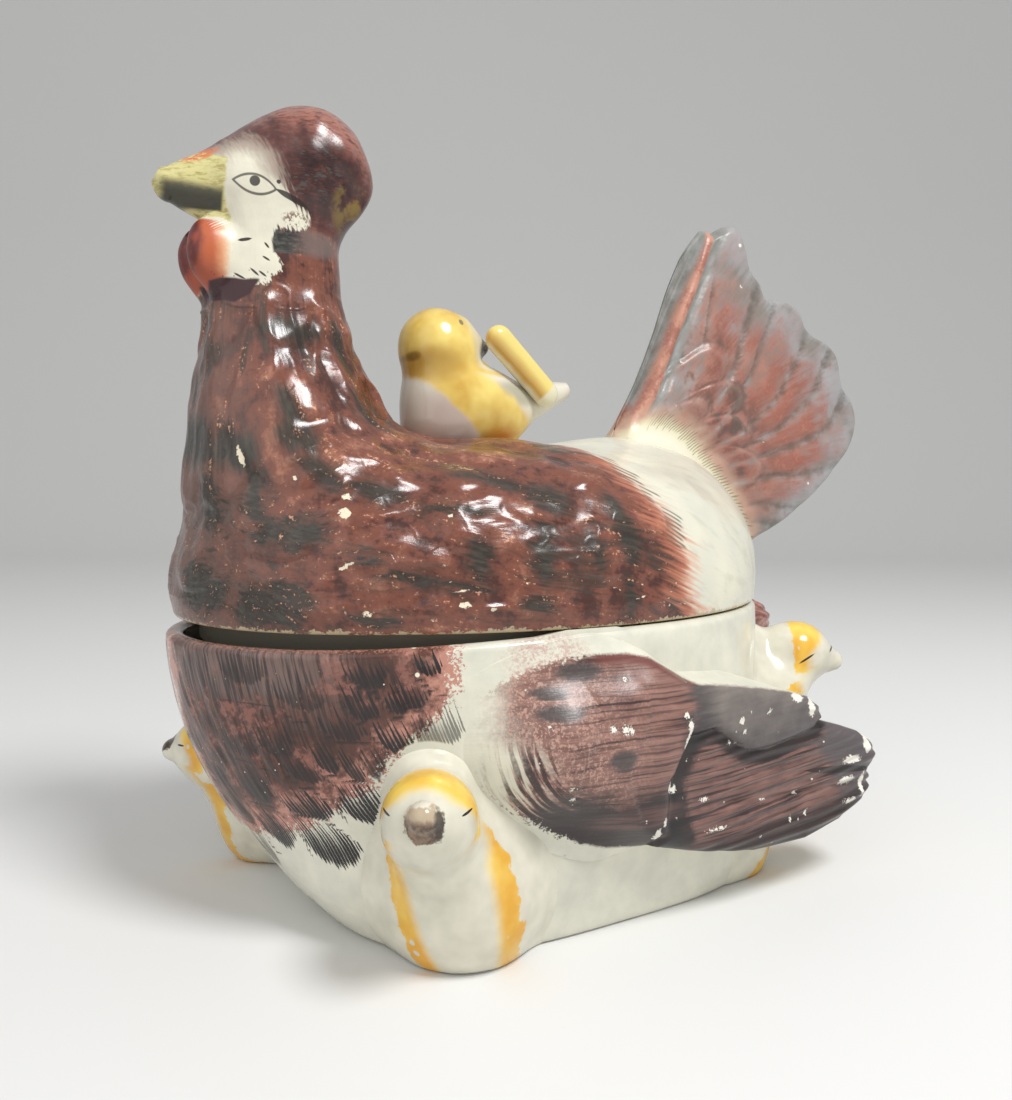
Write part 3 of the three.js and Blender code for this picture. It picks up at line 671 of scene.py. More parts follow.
def build_body(relief):
    """Lid below the neck joint: outer skin, seam land, flange, and the hollow inside."""
    columns = 340
    places = rows_between([0, 9, NECK_JOINT, NECK_JOINT + OVERLAP], [190, 46, 6])
    grid, normals, u, v, lumps, painted = plumed(places, columns)
    rump = rump_distance(grid)
    folds = 0.7 * cloud(grid, 17, 8) + 0.45 * np.exp(-4 * np.abs(cloud(grid, 12, 9)))
    near_seam = ease(0.5, 6, grid[..., 2] - SEAM)
    height = relief * near_seam * blur(mix(lumps, folds, ease(-3, 6, rump)), 2)
    lip = np.clip((grid[..., 2] - SEAM) / 1.6, 0, 1)
    height = height - 1.1 * (1 - np.sqrt(1 - (1 - lip) ** 2))
    grid = grid + normals * (height - sunk(places - NECK_JOINT))[..., None]
    grid[..., 2] = np.maximum(grid[..., 2], SEAM)
    turn = np.arange(columns) / columns * 2 * np.pi
    low = SEAM - FLANGE_DROP
    flange = [
        (-0.8, SEAM),
        (0, SEAM - 0.6),
        (0, low + 0.8),
        (0.7, low),
        (FLANGE_WALL - 0.7, low),
        (FLANGE_WALL, low + 0.8),
        (FLANGE_WALL + 1, SEAM + 2),
    ]
    around = np.stack([np.cos(turn), np.sin(turn), 0 * turn], -1)
    foot = [around * (FLANGE[0] - inset, FLANGE[1] - inset, 0) + (0, 0, z) for inset, z in flange]
    rows = np.concatenate([grid[::-1], foot, fan(hollow, np.linspace(0.7, 14.6, 30), columns)])
    extra = len(rows) - len(grid)

    def carried(values, below):
        """The skin's values from the top down, then what the flange and the inside have."""
        return np.concatenate([values[::-1], np.broadcast_to(below, (extra, columns))])

    paint = {"inside": carried(0 * rump, 1.0), "rump": carried(rump, 30.0)}
    for title, values in painted.items():
        paint[title] = carried(values, values[:1])
    further = v[:1] + np.arange(1, extra + 1)[:, None] * 2.0
    return Skins().add(rows, wrapped(carried(u, u[:1]), carried(v, further)), paint)


def build_head(relief):
    """Neck above the joint, face, hood, beak and wattles, on the same fan of planes."""
    places = rows_between([NECK_JOINT - OVERLAP, NECK_JOINT, 19, 24], [6, 150, 110])
    grid, normals, u, v, lumps, painted = plumed(places, 300)
    z = grid[..., 2]
    lumps = blur(lumps, 2) * (1 - ease(169, 178, z))
    rough = (0.3 * cloud(grid, 8, 32) + 0.1 * cloud(grid, 4, 31)) * ease(176, 190, z)
    grid = grid + normals * (relief * lumps + rough - sunk(NECK_JOINT - places))[..., None]
    return Skins().add(grid, wrapped(u, v), {**head_paint(grid), **painted})


# The white face, seen from the side: x and z round its edge.
FACE = [
    (-85, 212.2), (-79.8, 214.4), (-75.2, 210.5), (-72.6, 204), (-69.4, 199.2), (-66.1, 195.8),
    (-64.6, 192.6), (-67.6, 190.6), (-73.4, 190), (-74.6, 184), (-73.2, 179.2), (-76.9, 175.6),
    (-84.2, 174.8), (-90, 174.2), (-99, 180), (-108, 200), (-104, 208.6), (-91, 209.8),
]
SLATE_TUFT = [(-75.2, 191), (-64, 191.4), (-60, 188), (-62, 184.4), (-70, 183.6), (-74.8, 183.6)]
# Painted shadow under the wattles, seen from the side: x and z round its edge.
WATTLE_SHADOW = [(-90.5, 175.8), (-84, 176.6), (-78.8, 176), (-80.5, 172), (-84.5, 169.8), (-89.5, 171)]


def head_paint(grid):
    """Distances in millimetres to the painted shapes of the head, all seen from the side."""
    x, side, z = grid[..., 0], np.abs(grid[..., 1]), grid[..., 2]
    wave = 0.5 * cloud(grid, 4, 51)
    face_edge = -85.9 - x + 0.02 * (z - 202) ** 2
    under = z - 192.2 + 0.1 * (x + 86)
    over = 208.6 - z - 0.36 * (x + 85.6)
    wattle = ellipsoid(np.stack([x, side, z], -1), (-88.8, 5.6, 183.4), (7.6, 7.2, 10.4), 8)
    return {
        "face": outline(x, z, FACE) + wave,
        "beak": np.minimum(np.minimum(face_edge, under), over),
        "slate": outline(x, z, SLATE_TUFT),
        "wattle_shadow": outline(x, z, WATTLE_SHADOW) + wave,
        "almond": np.abs(z - 201.4 + 0.2 * (x + 79)) / 2.5 + ((x + 79) / 5.2) ** 2 - 1,
        "wattle": -wattle,
        "inside": 0 * x,
        "rump": 0 * x - 40,
    }


CREAM = (226, 222, 200)
INK = (34, 28, 28)


def bristles(g, x, z, at, length, high):
    """A group of fine parallel brush lines, seen from the side, that start on one line."""
    along = (x - at[0]) * 0.93 + (z - at[1]) * -0.36
    across = (x - at[0]) * 0.36 + (z - at[1]) * 0.93 + along * along * 0.012
    count = across * 0.75
    line = abs(count - count.floor() - 0.5)
    end = (g.random(count.floor(), at[0]) * 0.6 + 0.55) * length
    fine = (line - along * 0.012).rise(0.26, 0.1) * along.rise(-1.0, 0.5)
    return fine * (end - along).rise(0.0, 2.0) * (high - abs(across)).rise(0.0, 1.0)


# Groups of brush lines on the white rump: x and z where they start, length, half the group's height.
BRUSHED = [((13.5, 127.6), 9.0, 5.0), ((17.5, 119.5), 7.0, 3.0), ((20.5, 111.0), 9.5, 5.5)]


def plumage_glaze(name, with_head=False):
    """Streaky manganese brown over white, with slate patches, worn edges and small chips."""
    g = Glaze(name)
    u, v = g.uv()
    place = g.place()
    x, y, z = g.axes(place)
    drift = g.noise(place, 0.04, 1.0)
    mottle = g.noise(place, 0.17, 3.0, 0.6)
    grain = g.noise(place, 1.0, 3.0, 0.65)
    angle = u * (2.0 * math.pi)
    bend = z + x * 0.2 + drift.sway(10.0)
    way = z.rise(112.0, 130.0)
    down = ((angle + math.pi / 2.0).sine(), angle.sine(), v * 0.05)
    level = (x * 0.05, y * 0.3, bend * 0.6)

    def streaks(fine, detail):
        """Brush hairs: down the neck, and along the body below it."""
        neck = (down[0] * (9.0 * fine), down[1] * (9.0 * fine), down[2])
        neck = g.noise(neck, 1.0, detail, 0.6)
        body = g.noise((level[0], level[1] * fine, level[2] * fine), 1.0, detail, 0.6)
        return body + (neck - body) * way

    hair, broad = streaks(1.6, 3.0), streaks(0.55, 1.0)
    lift = g.attribute("lift")
    # Through lift the tone is darker in the relief's hollows and lighter on the raised feathers: painted
    # shade and highlight.
    tone = hair.sway(1.1) + broad.sway(1.2) + mottle.sway(3.2) + grain.sway(1.0) + lift.sway(0.8)
    g.ground((72, 42, 36), (118, 70, 56), tone.rise(-0.8, 0.0))
    g.coat((166, 112, 90), tone.rise(0.05, 1.1))
    # Greyer toward the front of the neck and breast: a painted reflection of the surroundings.
    front = (x + 80.0 + mottle.sway(14.0)).rise(4.0, -14.0)
    g.coat((110, 86, 78), front * 0.6)
    ragged = broad.sway(10.0) + hair.sway(9.0) + mottle.sway(4.0)
    patch = (g.attribute("dusk") + ragged).rise(-2.6, 3.0)
    stray = (broad.sway(2.0) + hair.sway(1.0) + drift.sway(2.4)).rise(0.25, 0.6)
    slate = g.colour((70, 70, 62), (38, 40, 36), (hair * 0.9 + mottle * 0.5).rise(0.45, 0.8))
    g.coat(slate, patch.most(stray * 0.75) * 0.9)
    scratch = hair.rise(0.54, 0.62) * grain.rise(0.54, 0.62) * (mottle + lift * 0.1).rise(0.5, 0.6)
    g.coat((214, 158, 124), scratch * 0.85)
    rump = g.attribute("rump")
    slope = z + x * 0.38
    comb = g.noise((x * 0.04, y * 0.25, slope * 0.9), 1.0, 2.0, 0.6)
    edge = rump + comb.sway(13.0) + mottle.sway(4.0)
    g.coat((186, 116, 90), (rump + comb.sway(24.0)).rise(-10.0, 0.0) * 0.8)
    pale_ground = g.colour(CREAM, (206, 206, 194), (g.noise(place, 0.06, 2.0) * 1.6 - 0.3).least(1.0))
    blush = (edge + comb.sway(12.0)).rise(9.0, -1.0) * (z.rise(132.0, 100.0) * 0.6 + 0.3)
    pale_ground = g.colour(pale_ground, (212, 158, 132), blush)
    # Grey folds in the cream rump: painted shade of folds.
    fold_shade = g.noise((x * 0.2, y * 0.5, slope * 0.5), 0.5, 2.0).rise(0.5, 0.75) * 0.3
    pale_ground = g.colour(pale_ground, (176, 176, 160), fold_shade)
    g.coat(pale_ground, edge.rise(-2.6, 2.8))
    marks = [bristles(g, x, z, *group) for group in BRUSHED]
    g.coat((92, 82, 66), either(*marks) * 0.75)
    worn = (z - SEAM + grain.sway(3.6) + mottle.sway(5.0)).rise(0.9, 0.3)
    g.coat((188, 170, 138), worn * 0.9)
    twisted = g.moved(place, grain * 4.0, hair * 2.0, mottle * 6.0)
    chip = (g.attribute("chip") - 0.3 + grain.sway(1.5)).rise(-0.15, 0.1)
    low = z.rise(112.0, 90.0)
    fleck = g.spots(twisted, 0.3).rise(0.1, 0.05) * (mottle + low * 0.1).rise(0.56, 0.64)
    chips = chip.most(fleck * 0.8) * edge.rise(0.0, -2.0)
    g.coat((228, 216, 190), chips * grain.rise(0.36, 0.44))
    web = abs(g.noise(place, 0.13, 1.0) - 0.5).rise(0.07, 0.0)
    web = web * edge.rise(0.0, -4.0) * z.rise(172.0, 168.0)
    height = hair * 0.08 + grain * 0.03 - chips * 0.12 + web * 0.05
    rough = 0.18 + chips * 0.4 + grain * 0.07
    if with_head:
        rough = rough + painted_head(g, x, abs(y), z, grain, mottle)
    inside = g.attribute("inside")
    # The inside stays cream; below the seam the flange is painted dark grey, painted shade in the gap
    # under the lid's edge.
    g.coat(g.colour((196, 192, 176), (124, 120, 108), z.rise(SEAM + 1.0, SEAM - 0.5)), inside)
    return g.finish(rough, height)


def either(first, *others):
    """The largest of several masks."""
    for other in others:
        first = first.most(other)
    return first


def length_of(u, v):
    """How long the arrow with these two parts is, for terms."""
    return (u * u + v * v).root()


def near(x, z, cx, cz, rx, rz, low=1.15, high=0.85):
    """A painted spot seen from the side, 1 inside and 0 outside an oval."""
    away = ((x - cx) / rx) ** 2.0 + ((z - cz) / rz) ** 2.0
    return away.rise(low, high)


def line_mark(x, z, a, b, width):
    """A painted line seen from the side, tapering at its ends."""
    length = math.hypot(b[0] - a[0], b[1] - a[1])
    c, s = (b[0] - a[0]) / length, (b[1] - a[1]) / length
    along = (x - a[0]) * c + (z - a[1]) * s
    off = abs((z - a[1]) * c - (x - a[0]) * s)
    taper = (along * (length - along)).rise(0.0, 0.25 * length * length)
    ends = along.rise(0.0, 0.1) * along.rise(length, length - 0.1)
    return (off - taper * width).rise(0.12, -0.12) * ends


# Short strokes on the face: x and z of both ends, and half the width.
FLECKS = [
    (-83.4, 186.6, -79.6, 187.3, 0.45), (-84.5, 178, -81.5, 176.2, 0.28),
    (-80.6, 179.4, -78.4, 177, 0.28), (-78.6, 178.6, -76.6, 176.8, 0.28),
    (-76.9, 186.4, -75.7, 184.6, 0.28), (-77.6, 182.6, -75.6, 181.2, 0.28),
]


def painted_head(g, x, side, z, grain, mottle):
    """Hood, face, eye, beak, wattles and the brushed marks round them; gives the added roughness."""
    hooded = g.attribute("face")
    streak = g.noise((x * 0.35, side * 0.4, z * 1.1), 1.0, 3.0, 0.6)
    above = (z - 191.5 + (x + 66.0) * 0.16 + streak.sway(5.0)).rise(-1.0, 1.6)
    hood = g.colour((64, 40, 38), (104, 62, 56), (mottle * 1.7 - 0.35 + streak * 0.3).rise(0.2, 0.9))
    rim = (z - 217.0 + (x + 62.0) * 0.4 + mottle.sway(16.0)).rise(-5.0, 4.0)
    hood = g.colour(hood, (164, 108, 94), rim * streak.rise(0.25, 0.6) * 0.9)
    dark = near(x, z, -61.5, 206.5, 10.5, 10.0, 1.5, 0.1)
    hood = g.colour(hood, (40, 26, 26), dark * streak.rise(0.25, 0.6) * 0.9)
    # Grey patches over the hood: painted highlights.
    hood = g.colour(hood, (96, 92, 88), (streak * 0.6 + mottle * 0.4).rise(0.53, 0.62) * 0.55)
    olive = near(x, z, -51.5, 199.0, 6.5, 6.5, 1.5, 0.4) * mottle.rise(0.4, 0.56)
    hood = g.colour(hood, (128, 108, 52), olive * 0.85)
    g.coat(hood, above)
    smear = near(x, z, -63.5, 188.4, 10.0, 4.8, 1.4, 0.3) * (0.9 - above)
    g.coat((112, 98, 94), smear * 0.9)
    hairs = g.noise((x * 1.3 + z * 0.5, side * 0.3, z * 0.25), 1.0, 2.0, 0.6)
    ragged = (hooded + hairs.sway(5.0) - z.rise(198.0, 206.0)) * (1.0 - z.rise(196.0, 205.0) * 0.9)
    ragged = ragged + grain.sway(3.4) * z.rise(186.0, 180.0)
    face = ragged.rise(-0.45, 0.45)
    pale = g.colour(CREAM, (208, 204, 188), (mottle * 1.6 - 0.3).least(1.0))
    g.coat(pale, face)
    brow = hooded.rise(7.0, 0.0) * z.rise(199.0, 206.0)
    g.coat((140, 108, 98), brow * face * hairs.rise(0.35, 0.6) * 0.8)
    freckle = near(x, z, -68.5, 193.2, 4.0, 2.2, 1.4, 0.3) * grain.rise(0.5, 0.58)
    g.coat((110, 72, 60), freckle * 0.85)
    lobe = g.attribute("wattle").rise(-0.6, 0.5)
    red = g.colour((126, 54, 40), (186, 96, 60), (x + 91.4 + mottle.sway(3.0)).rise(-2.0, 0.4))
    red = g.colour(red, (220, 160, 118), (x + 88.2 + mottle.sway(3.0)).rise(-1.8, 1.8))
    red = g.colour(red, CREAM, (x + 85.6 + grain.sway(2.0)).rise(-2.0, 1.4))
    low = (z - 181.0 + (x + 88.0) * 0.5 + mottle.sway(6.0)).rise(1.0, -6.0)
    red = g.colour(red, (150, 68, 42), low * 0.85)
    deep = (x + 93.0 + (184.0 - z) * 0.08 + grain.sway(0.8)).rise(0.5, -0.9)
    red = g.colour(red, g.colour((150, 62, 42), (96, 36, 32), mottle.rise(0.35, 0.6)), deep)
    g.coat(red, lobe * (z - 192.2 + (x + 90.0) * 0.1).rise(0.5, -0.6))
    # A dark plum painted shadow under the wattles.
    g.coat((54, 24, 28), g.attribute("wattle_shadow").rise(-0.4, 0.4))
    spikes = g.noise((x * 1.6 + z * 0.25, 0.0, 0.0), 1.0, 1.0, 0.5)
    slate = (g.attribute("slate") + (spikes - 0.62) * 9.0 * z.rise(187.0, 190.5)).rise(-0.3, 0.4)
    slate = slate * (x + 70.5 + streak.sway(5.0)).rise(6.5, -1.0)
    g.coat(g.colour((40, 44, 42), (78, 78, 74), streak.rise(0.45, 0.65)), slate * 0.95)
    beak = (g.attribute("beak") + mottle.sway(2.0) + (grain - 0.5)).rise(-0.4, 0.4)
    gold = g.colour((206, 198, 138), (168, 154, 94), streak.rise(0.42, 0.68))
    top = z - 200.0 + (x + 86.0) * 0.13 + streak.sway(2.0)
    sooty = top.rise(1.6, -0.8) * (z - 194.9 + (x + 86.0) * 0.1).rise(-0.4, 0.5)
    sooty = sooty * (x + 101.2).rise(-1.5, 1.5) * (x + 86.4).rise(0.6, -0.4)
    gold = g.colour(gold, g.colour((84, 82, 66), (42, 42, 36), top.rise(0.5, -2.4)), sooty * 0.96)
    g.coat(gold, beak)
    spot = near(x, z - (x + 91.0) * 0.35, -91.5, 209.8, 4.4, 1.7, 1.6, 0.3) * streak.rise(0.35, 0.5)
    g.coat((206, 108, 60), spot * 0.9)
    almond = g.attribute("almond")
    pupil = near(x, z, -79.1, 202.2, 1.25, 1.4, 1.2, 0.8)
    corner = near(x, z, -73.2, 202.4, 0.55, 0.55)
    crease = line_mark(x, z, (-74.6, 200.7), (-64.6, 196.6), 0.8)
    g.coat((44, 36, 34), either(abs(almond).rise(0.2, 0.08) * 0.9, pupil, corner, crease) * 0.92)
    dots = g.spots((x, 0.0, z), 0.8).rise(0.2, 0.1) * (z - 180.0).rise(1.0, -3.0) * face
    flecks = [line_mark(x, z, (x1, z1), (x2, z2), wide) for x1, z1, x2, z2, wide in FLECKS]
    g.coat((56, 44, 40), either(dots * 0.8, *flecks))
    return lobe * 0.12


# The tail is a fan in polar steps from this point: degrees from the front (+X) up, and radius.
TAIL_ROOT = (36, 114)
TAIL_LOW, TAIL_HIGH = -13, 65
TAIL_HUB = 0.22  # where the slab begins, as a part of the tip's radius
TAIL_TIPS = [
    (-13, 82), (-8, 86), (-4, 97), (0, 108), (4, 120), (8, 132), (12, 142), (15.5, 145.5),
    (18, 144.5), (20.5, 141.4), (23, 140.6), (26, 141.5), (29, 139), (32, 132.2), (34.5, 130), (37.5, 130),
    (41, 125.5), (44.3, 118), (47, 119.6), (51, 120.4), (54, 124.8), (56.2, 127), (57.8, 126.8),
    (59.2, 123), (60.2, 118.6), (61.2, 118.4), (62.6, 116.6), (65, 108),
]
# Long feathers meet along these lines, in degrees at the tips.
TAIL_SEAMS = [-13, -5, 0, 7.7, 15, 21.5, 29.3, 41, 46.7, 59]
# Short feathers over the root: degrees of the middle, radius of the tip.
TAIL_SCALES = [(44, 84), (33, 83), (22, 82), (10.5, 84), (0, 76), (38, 64), (25.5, 66), (13, 66)]
# The salmon ridge in front: radius and degrees.
TAIL_RIDGE = [(25, 54), (38, 55.9), (48, 55.9), (62, 57.3), (81, 59.2), (96, 60), (109, 60.7), (122, 61.3)]
# Below this line, in degrees and radius, the tail is cream.
TAIL_WHITE = [
    (-13, 84), (-6, 80.5), (2.5, 72.2), (13, 62), (20, 58), (27, 55.7), (40, 50), (52, 42), (66, 24),
]


def tail_shape(degrees, r):
    """Relief of the tail's feathers in millimetres, and masks for their paint: a rounded crown between
    two seams, round-tipped scales over the root, and a ridge with a trough beside it in front."""
    wander = 1.1 * cloud(np.stack([degrees, r], -1), 17, 71)
    bent = degrees + 0.3 * ease(8, 30, degrees) * (110 - r) + wander
    nearest = np.full(np.shape(bent), 1e9)
    crown = np.zeros(np.shape(bent))
    for a, b in zip(TAIL_SEAMS, TAIL_SEAMS[1:]):
        inside = (bent >= a) & (bent < b)
        s = (bent - (a + b) / 2) / (b - a) * 2
        crown = np.where(inside, 1 - np.abs(s) ** 2.4, crown)
        nearest = np.where(inside, np.minimum(bent - a, b - bent) * np.radians(1) * r, nearest)
    height = 1.5 * crown
    # Painted shade: dark along the seams between the long feathers, and just outside each scale's edge
    # under it.
    groove_shade = np.exp(-((nearest / 2.8) ** 2))
    rim = np.zeros(np.shape(bent))
    for middle, tip in TAIL_SCALES:
        s = (degrees + wander - middle - 0.12 * (tip - r)) / 7.2
        edge = tip - 15 * np.abs(s) ** 2.2 - r
        cover = ease(-3.6, 3.6, edge) * ease(1.5, 1.1, np.abs(s))
        own = 0.9 + 0.8 * np.exp(-((edge - 5) / 5.5) ** 2) + 1.0 * (1 - np.minimum(np.abs(s), 1) ** 2)
        height = mix(height, height * 0.3 + own, cover)
        # Just outside a scale's edge: painted shade under it.
        under = 0.85 * np.exp(-(((edge + 1.4) / 2.8) ** 2)) * ease(1.4, 1.0, np.abs(s))
        groove_shade = np.maximum(mix(groove_shade, 0.0, cover), under)
        # A band just inside each scale's tip edge, painted lighter as a highlight.
        rim = mix(rim, np.exp(-((edge - 3) / 2.6) ** 2), cover)
    line = table(TAIL_RIDGE, r)[..., 0]
    off = (degrees - line) * np.radians(1) * r
    ridge = np.exp(-((off / 1.5) ** 2))
    trough = np.exp(-(((off + 3.6) / 1.5) ** 2))
    height = height * ease(1.0, -4.0, off) + 1.2 * ridge - 1.6 * trough
    blots = np.stack([degrees * 1.4, r], -1)
    height = height + 0.7 * cloud(blots, 11, 72) + 0.4 * cloud(blots, 6, 73)
    white = r - table(TAIL_WHITE, degrees)[..., 0]
    fade = ease(-6, 12, white)
    return height * fade, {
        "groove_shade": groove_shade * fade,
        "rim": rim * fade,
        "crown": crown,
        "ridge": ease(-2.1, -1.0, -np.abs(off)) * ease(24, 30, r),
        "front": off,
        "white": white,
        "tip": table(TAIL_TIPS, degrees)[..., 0] - r,
    }


def build_tail(relief):
    """The fan's slab in polar steps, from its hub out to the tips: its half thickness ends in a round
    edge, carries the relief, and widens where it meets the rump."""
    columns, rows = 420, 190
    turn = np.arange(columns)[None] / columns * 2 * np.pi
    across = np.round(np.cos(turn), 12)
    full = np.sign(across) * np.abs(across) ** 0.8
    v = np.sin(np.linspace(0, 1, rows) * np.pi / 2)[:, None] ** 0.8
    out = mix(TAIL_HUB, 1, v)
    front = TAIL_HIGH - 4.2 + 3.0 * ease(0.4, 0.85, out) - 1.2 * ease(0.9, 1, out)
    degrees = mix(TAIL_LOW, front, (full + 1) / 2)
    r = table(TAIL_TIPS, degrees)[..., 0] * out
    x = TAIL_ROOT[0] + r * np.cos(np.radians(degrees))
    z = TAIL_ROOT[1] + r * np.sin(np.radians(degrees))
    lean = ease(TAIL_LOW, TAIL_HIGH, degrees)
    bevel = 1 - np.clip((1 - out) * r / out / 5.5, 0, 1)
    half = mix(5.5, mix(7.5, 9, v), lean) * np.sqrt(1 - bevel**2) * mix(1.1, 1, v)
    height, paint = tail_shape(degrees, r)
    half = np.maximum(half - 1.0 + relief * (height - 0.4) * np.sqrt(np.maximum(1 - v**8, 0)), 0)
    low, high = np.zeros(x.shape), np.full(x.shape, 60.0)
    for _ in range(22):
        y = (low + high) / 2
        field = soft(torso(np.stack([x, y, z], -1)) + 0.7, y - half, 13)
        low, high = np.where(field < 0, y, low), np.where(field < 0, high, y)
    side = np.sign(np.round(np.sin(turn), 12)) * np.abs(np.sin(turn)) ** 0.6
    y = np.where(v < 1, (low + high) / 2, 0) * side
    recess = ease(1.2, 3.0, paint["front"]) * ease(26, 36, r) * (1 - v**10)
    y = np.where(side < 0, mix(y, 0.2 * half * np.sign(np.abs(side)), recess), y)
    uv = wrapped(degrees, r)
    uv[:, -1, 0] -= 1
    return Skins().add(np.stack([x, y, z], -1), uv, paint, start=(54, 0, 130), folded=True)


def tail_glaze():
    """Dusty pink feathers with rust hearts and blue-grey edges, a salmon ridge and a cream root; painted
    shade in grooves, painted highlights on scale rims.
    """
    g = Glaze("tail_glaze")
    degrees, r = g.uv()
    place = g.place()
    hair = g.noise((degrees * 1.1, r * 0.08, 0.0), 1.0, 2.0, 0.6)
    mottle = g.noise(place, 0.13, 3.0, 0.6)
    blot = g.noise(place, 0.055, 2.0, 0.6)
    grain = g.noise(place, 0.9, 3.0, 0.65)
    crown = g.attribute("crown") + hair.sway(1.2) + mottle.sway(1.4)
    g.ground((148, 116, 106), (168, 120, 106), mottle.rise(0.35, 0.65))
    rust = crown.rise(0.3, 1.15) * (blot + grain.sway(0.3)).rise(0.34, 0.56)
    deeper = g.colour((150, 92, 78), (122, 72, 64), r.rise(92.0, 70.0) * (mottle + 0.1).rise(0.4, 0.6))
    g.coat(deeper, rust * 0.9)
    ember = (mottle + grain * 0.6).rise(0.86, 1.02) * rust
    g.coat((176, 118, 98), ember * 0.7)
    tip = g.attribute("tip") + hair.sway(22.0) + mottle.sway(22.0)
    blue = tip.rise(34.0, 4.0).most((crown * -1.0).rise(-0.45, 0.25) * 0.8)
    ashen = g.colour((122, 122, 116), (158, 162, 164), (blot + hair * 0.4).rise(0.5, 0.85))
    g.coat(ashen, blue * 0.85)
    # Lighter along the scales' rims: painted highlight.
    rim = g.attribute("rim") + mottle.sway(1.6)
    g.coat((178, 142, 128), rim.rise(0.45, 1.5) * 0.4)
    # Darker in the grooves and under the scales' edges: painted shade.
    groove_shade = (g.attribute("groove_shade") + hair.sway(0.9) + mottle.sway(2.8)).rise(0.3, 1.5)
    g.coat((82, 80, 74), groove_shade * 0.7)
    slate = (blot + mottle.sway(0.8)).rise(0.54, 0.7) * r.rise(98.0, 72.0)
    g.coat((84, 82, 76), slate * 0.75)
    front = g.attribute("front")
    off = front + mottle.sway(2.6)
    grey = off.rise(-7.0, -3.5) * (1.0 - front.rise(14.0, 20.0))
    ash = g.colour((126, 126, 120), (158, 160, 158), (mottle * 0.7 + hair * 0.4).rise(0.4, 0.75))
    g.coat(ash, grey * 0.92)
    bright = g.colour((190, 138, 118), (160, 106, 90), (mottle + grain.sway(0.4)).rise(0.4, 0.62))
    ridge = (2.1 - r.rise(80.0, 118.0) * 0.6 - abs(front) + grain.sway(0.9)).rise(-0.5, 0.7)
    foot = near(r, front, 36.0, 0.0, 9.0, 7.0, 1.4, 0.3) * mottle.rise(0.3, 0.5)
    g.coat(bright, ridge.most(foot * 0.8))
    edge = g.attribute("white") + mottle.sway(4.0)
    cream = g.colour((226, 222, 202), (216, 208, 176), edge.rise(-12.0, -2.0))
    blend = edge.rise(1.5, -4.5)
    g.coat((206, 172, 150), edge.rise(8.0, 0.0) * 0.6)
    g.coat(cream, blend)
    teeth = degrees * 0.95 + mottle.sway(1.6)
    tooth = teeth.floor()
    along = edge + g.random(tooth, 3.0) * 4.0
    bristle = (0.24 - abs(teeth - tooth - 0.5)).rise(0.0, 0.1) * degrees.rise(52.0, 46.0)
    g.coat((112, 110, 90), bristle * along.rise(-4.5, -2.5) * along.rise(3.4, 1.0) * 0.7)
    wear = g.spots(place, 0.1).rise(0.09, 0.06) * mottle.rise(0.5, 0.6)
    g.coat((232, 228, 214), wear)
    return g.finish(grain * 0.08 + 0.3, hair * 0.05 + grain * 0.02 + mottle * 0.4, 0.4)


def core_grid(field, a, b, columns, rows):
    """Rays from a straight core from a to b: rows turn from one end of the core to the other."""
    a, b = np.asarray(a, float), np.asarray(b, float)
    core = (b - a) / np.linalg.norm(b - a)
    side = np.cross((0.0, 1.0, 0.0) if abs(core[1]) < 0.8 else (1.0, 0.0, 0.0), core)
    side /= np.linalg.norm(side)
    other = np.cross(core, side)
    v = np.linspace(0, 1, rows + 2)[1:-1, None, None]
    turn = (np.arange(columns) / columns * 2 * np.pi)[None, :, None]
    polar = np.pi * (1 - v)
    start = a + (b - a) * np.clip(v * 1.6 - 0.3, 0, 1)
    ray = core * np.cos(polar) + (side * np.cos(turn) + other * np.sin(turn)) * np.sin(polar)
    return start + ray * reach(field, start, ray, 60.0)[..., None]


def finial_body(p):
    """Ellipsoids for the body and the turned head, bars for breast, beak and tail, blended softly."""
    d = ellipsoid(p, (-8.5, 0, 147), (19.5, 14, 15), -8)
    d = soft(d, bar(p, (-17.5, 0, 142), (-18, 0, 160), 12.5, 11), 6)
    d = soft(d, ellipsoid(p, (-18.5, 0, 165.5), (12.5, 11.5, 12)), 4)
    d = soft(d, bar(p, (-11, -0.5, 167.5), (-2.8, -1, 166.4), 6, 2), 5)
    return soft(d, bar(p, (4, 0, 146), (28, 0, 154.5), 9, 3.6), 8)


def finial_wing(p):
    """The raised wing that shows: a thin bar."""
    thin = np.stack([p[..., 0], (p[..., 1] + 9) * 1.35, p[..., 2]], -1)
    return bar(thin, (-1, 0, 168), (16.5, 0, 152), 4.6, 4.4)


def finial_wing_low(p):
    """The wing under the turned head: a leaning ellipsoid."""
    return ellipsoid(p, (2, 7, 156), (14, 4.2, 6), -40)


def build_finial(relief):
    """Skins of the finial's body and its two wings."""
    body = core_grid(finial_body, (-17, 0, 146), (-19, 0, 164), 220, 150)
    body = body + grid_normals(body) * -0.12 * relief * cloud(body, 6, 5)[..., None]
    left = core_grid(finial_wing, (1, -9, 166), (14, -9, 154), 120, 90)
    right = core_grid(finial_wing_low, (-4, 7, 160), (7, 7, 152), 90, 60)
    parts = ((body, 0.0), (left, 1.0), (right, 1.0))
    return [Skins().add(part, paint={"wing": wing}) for part, wing in parts]


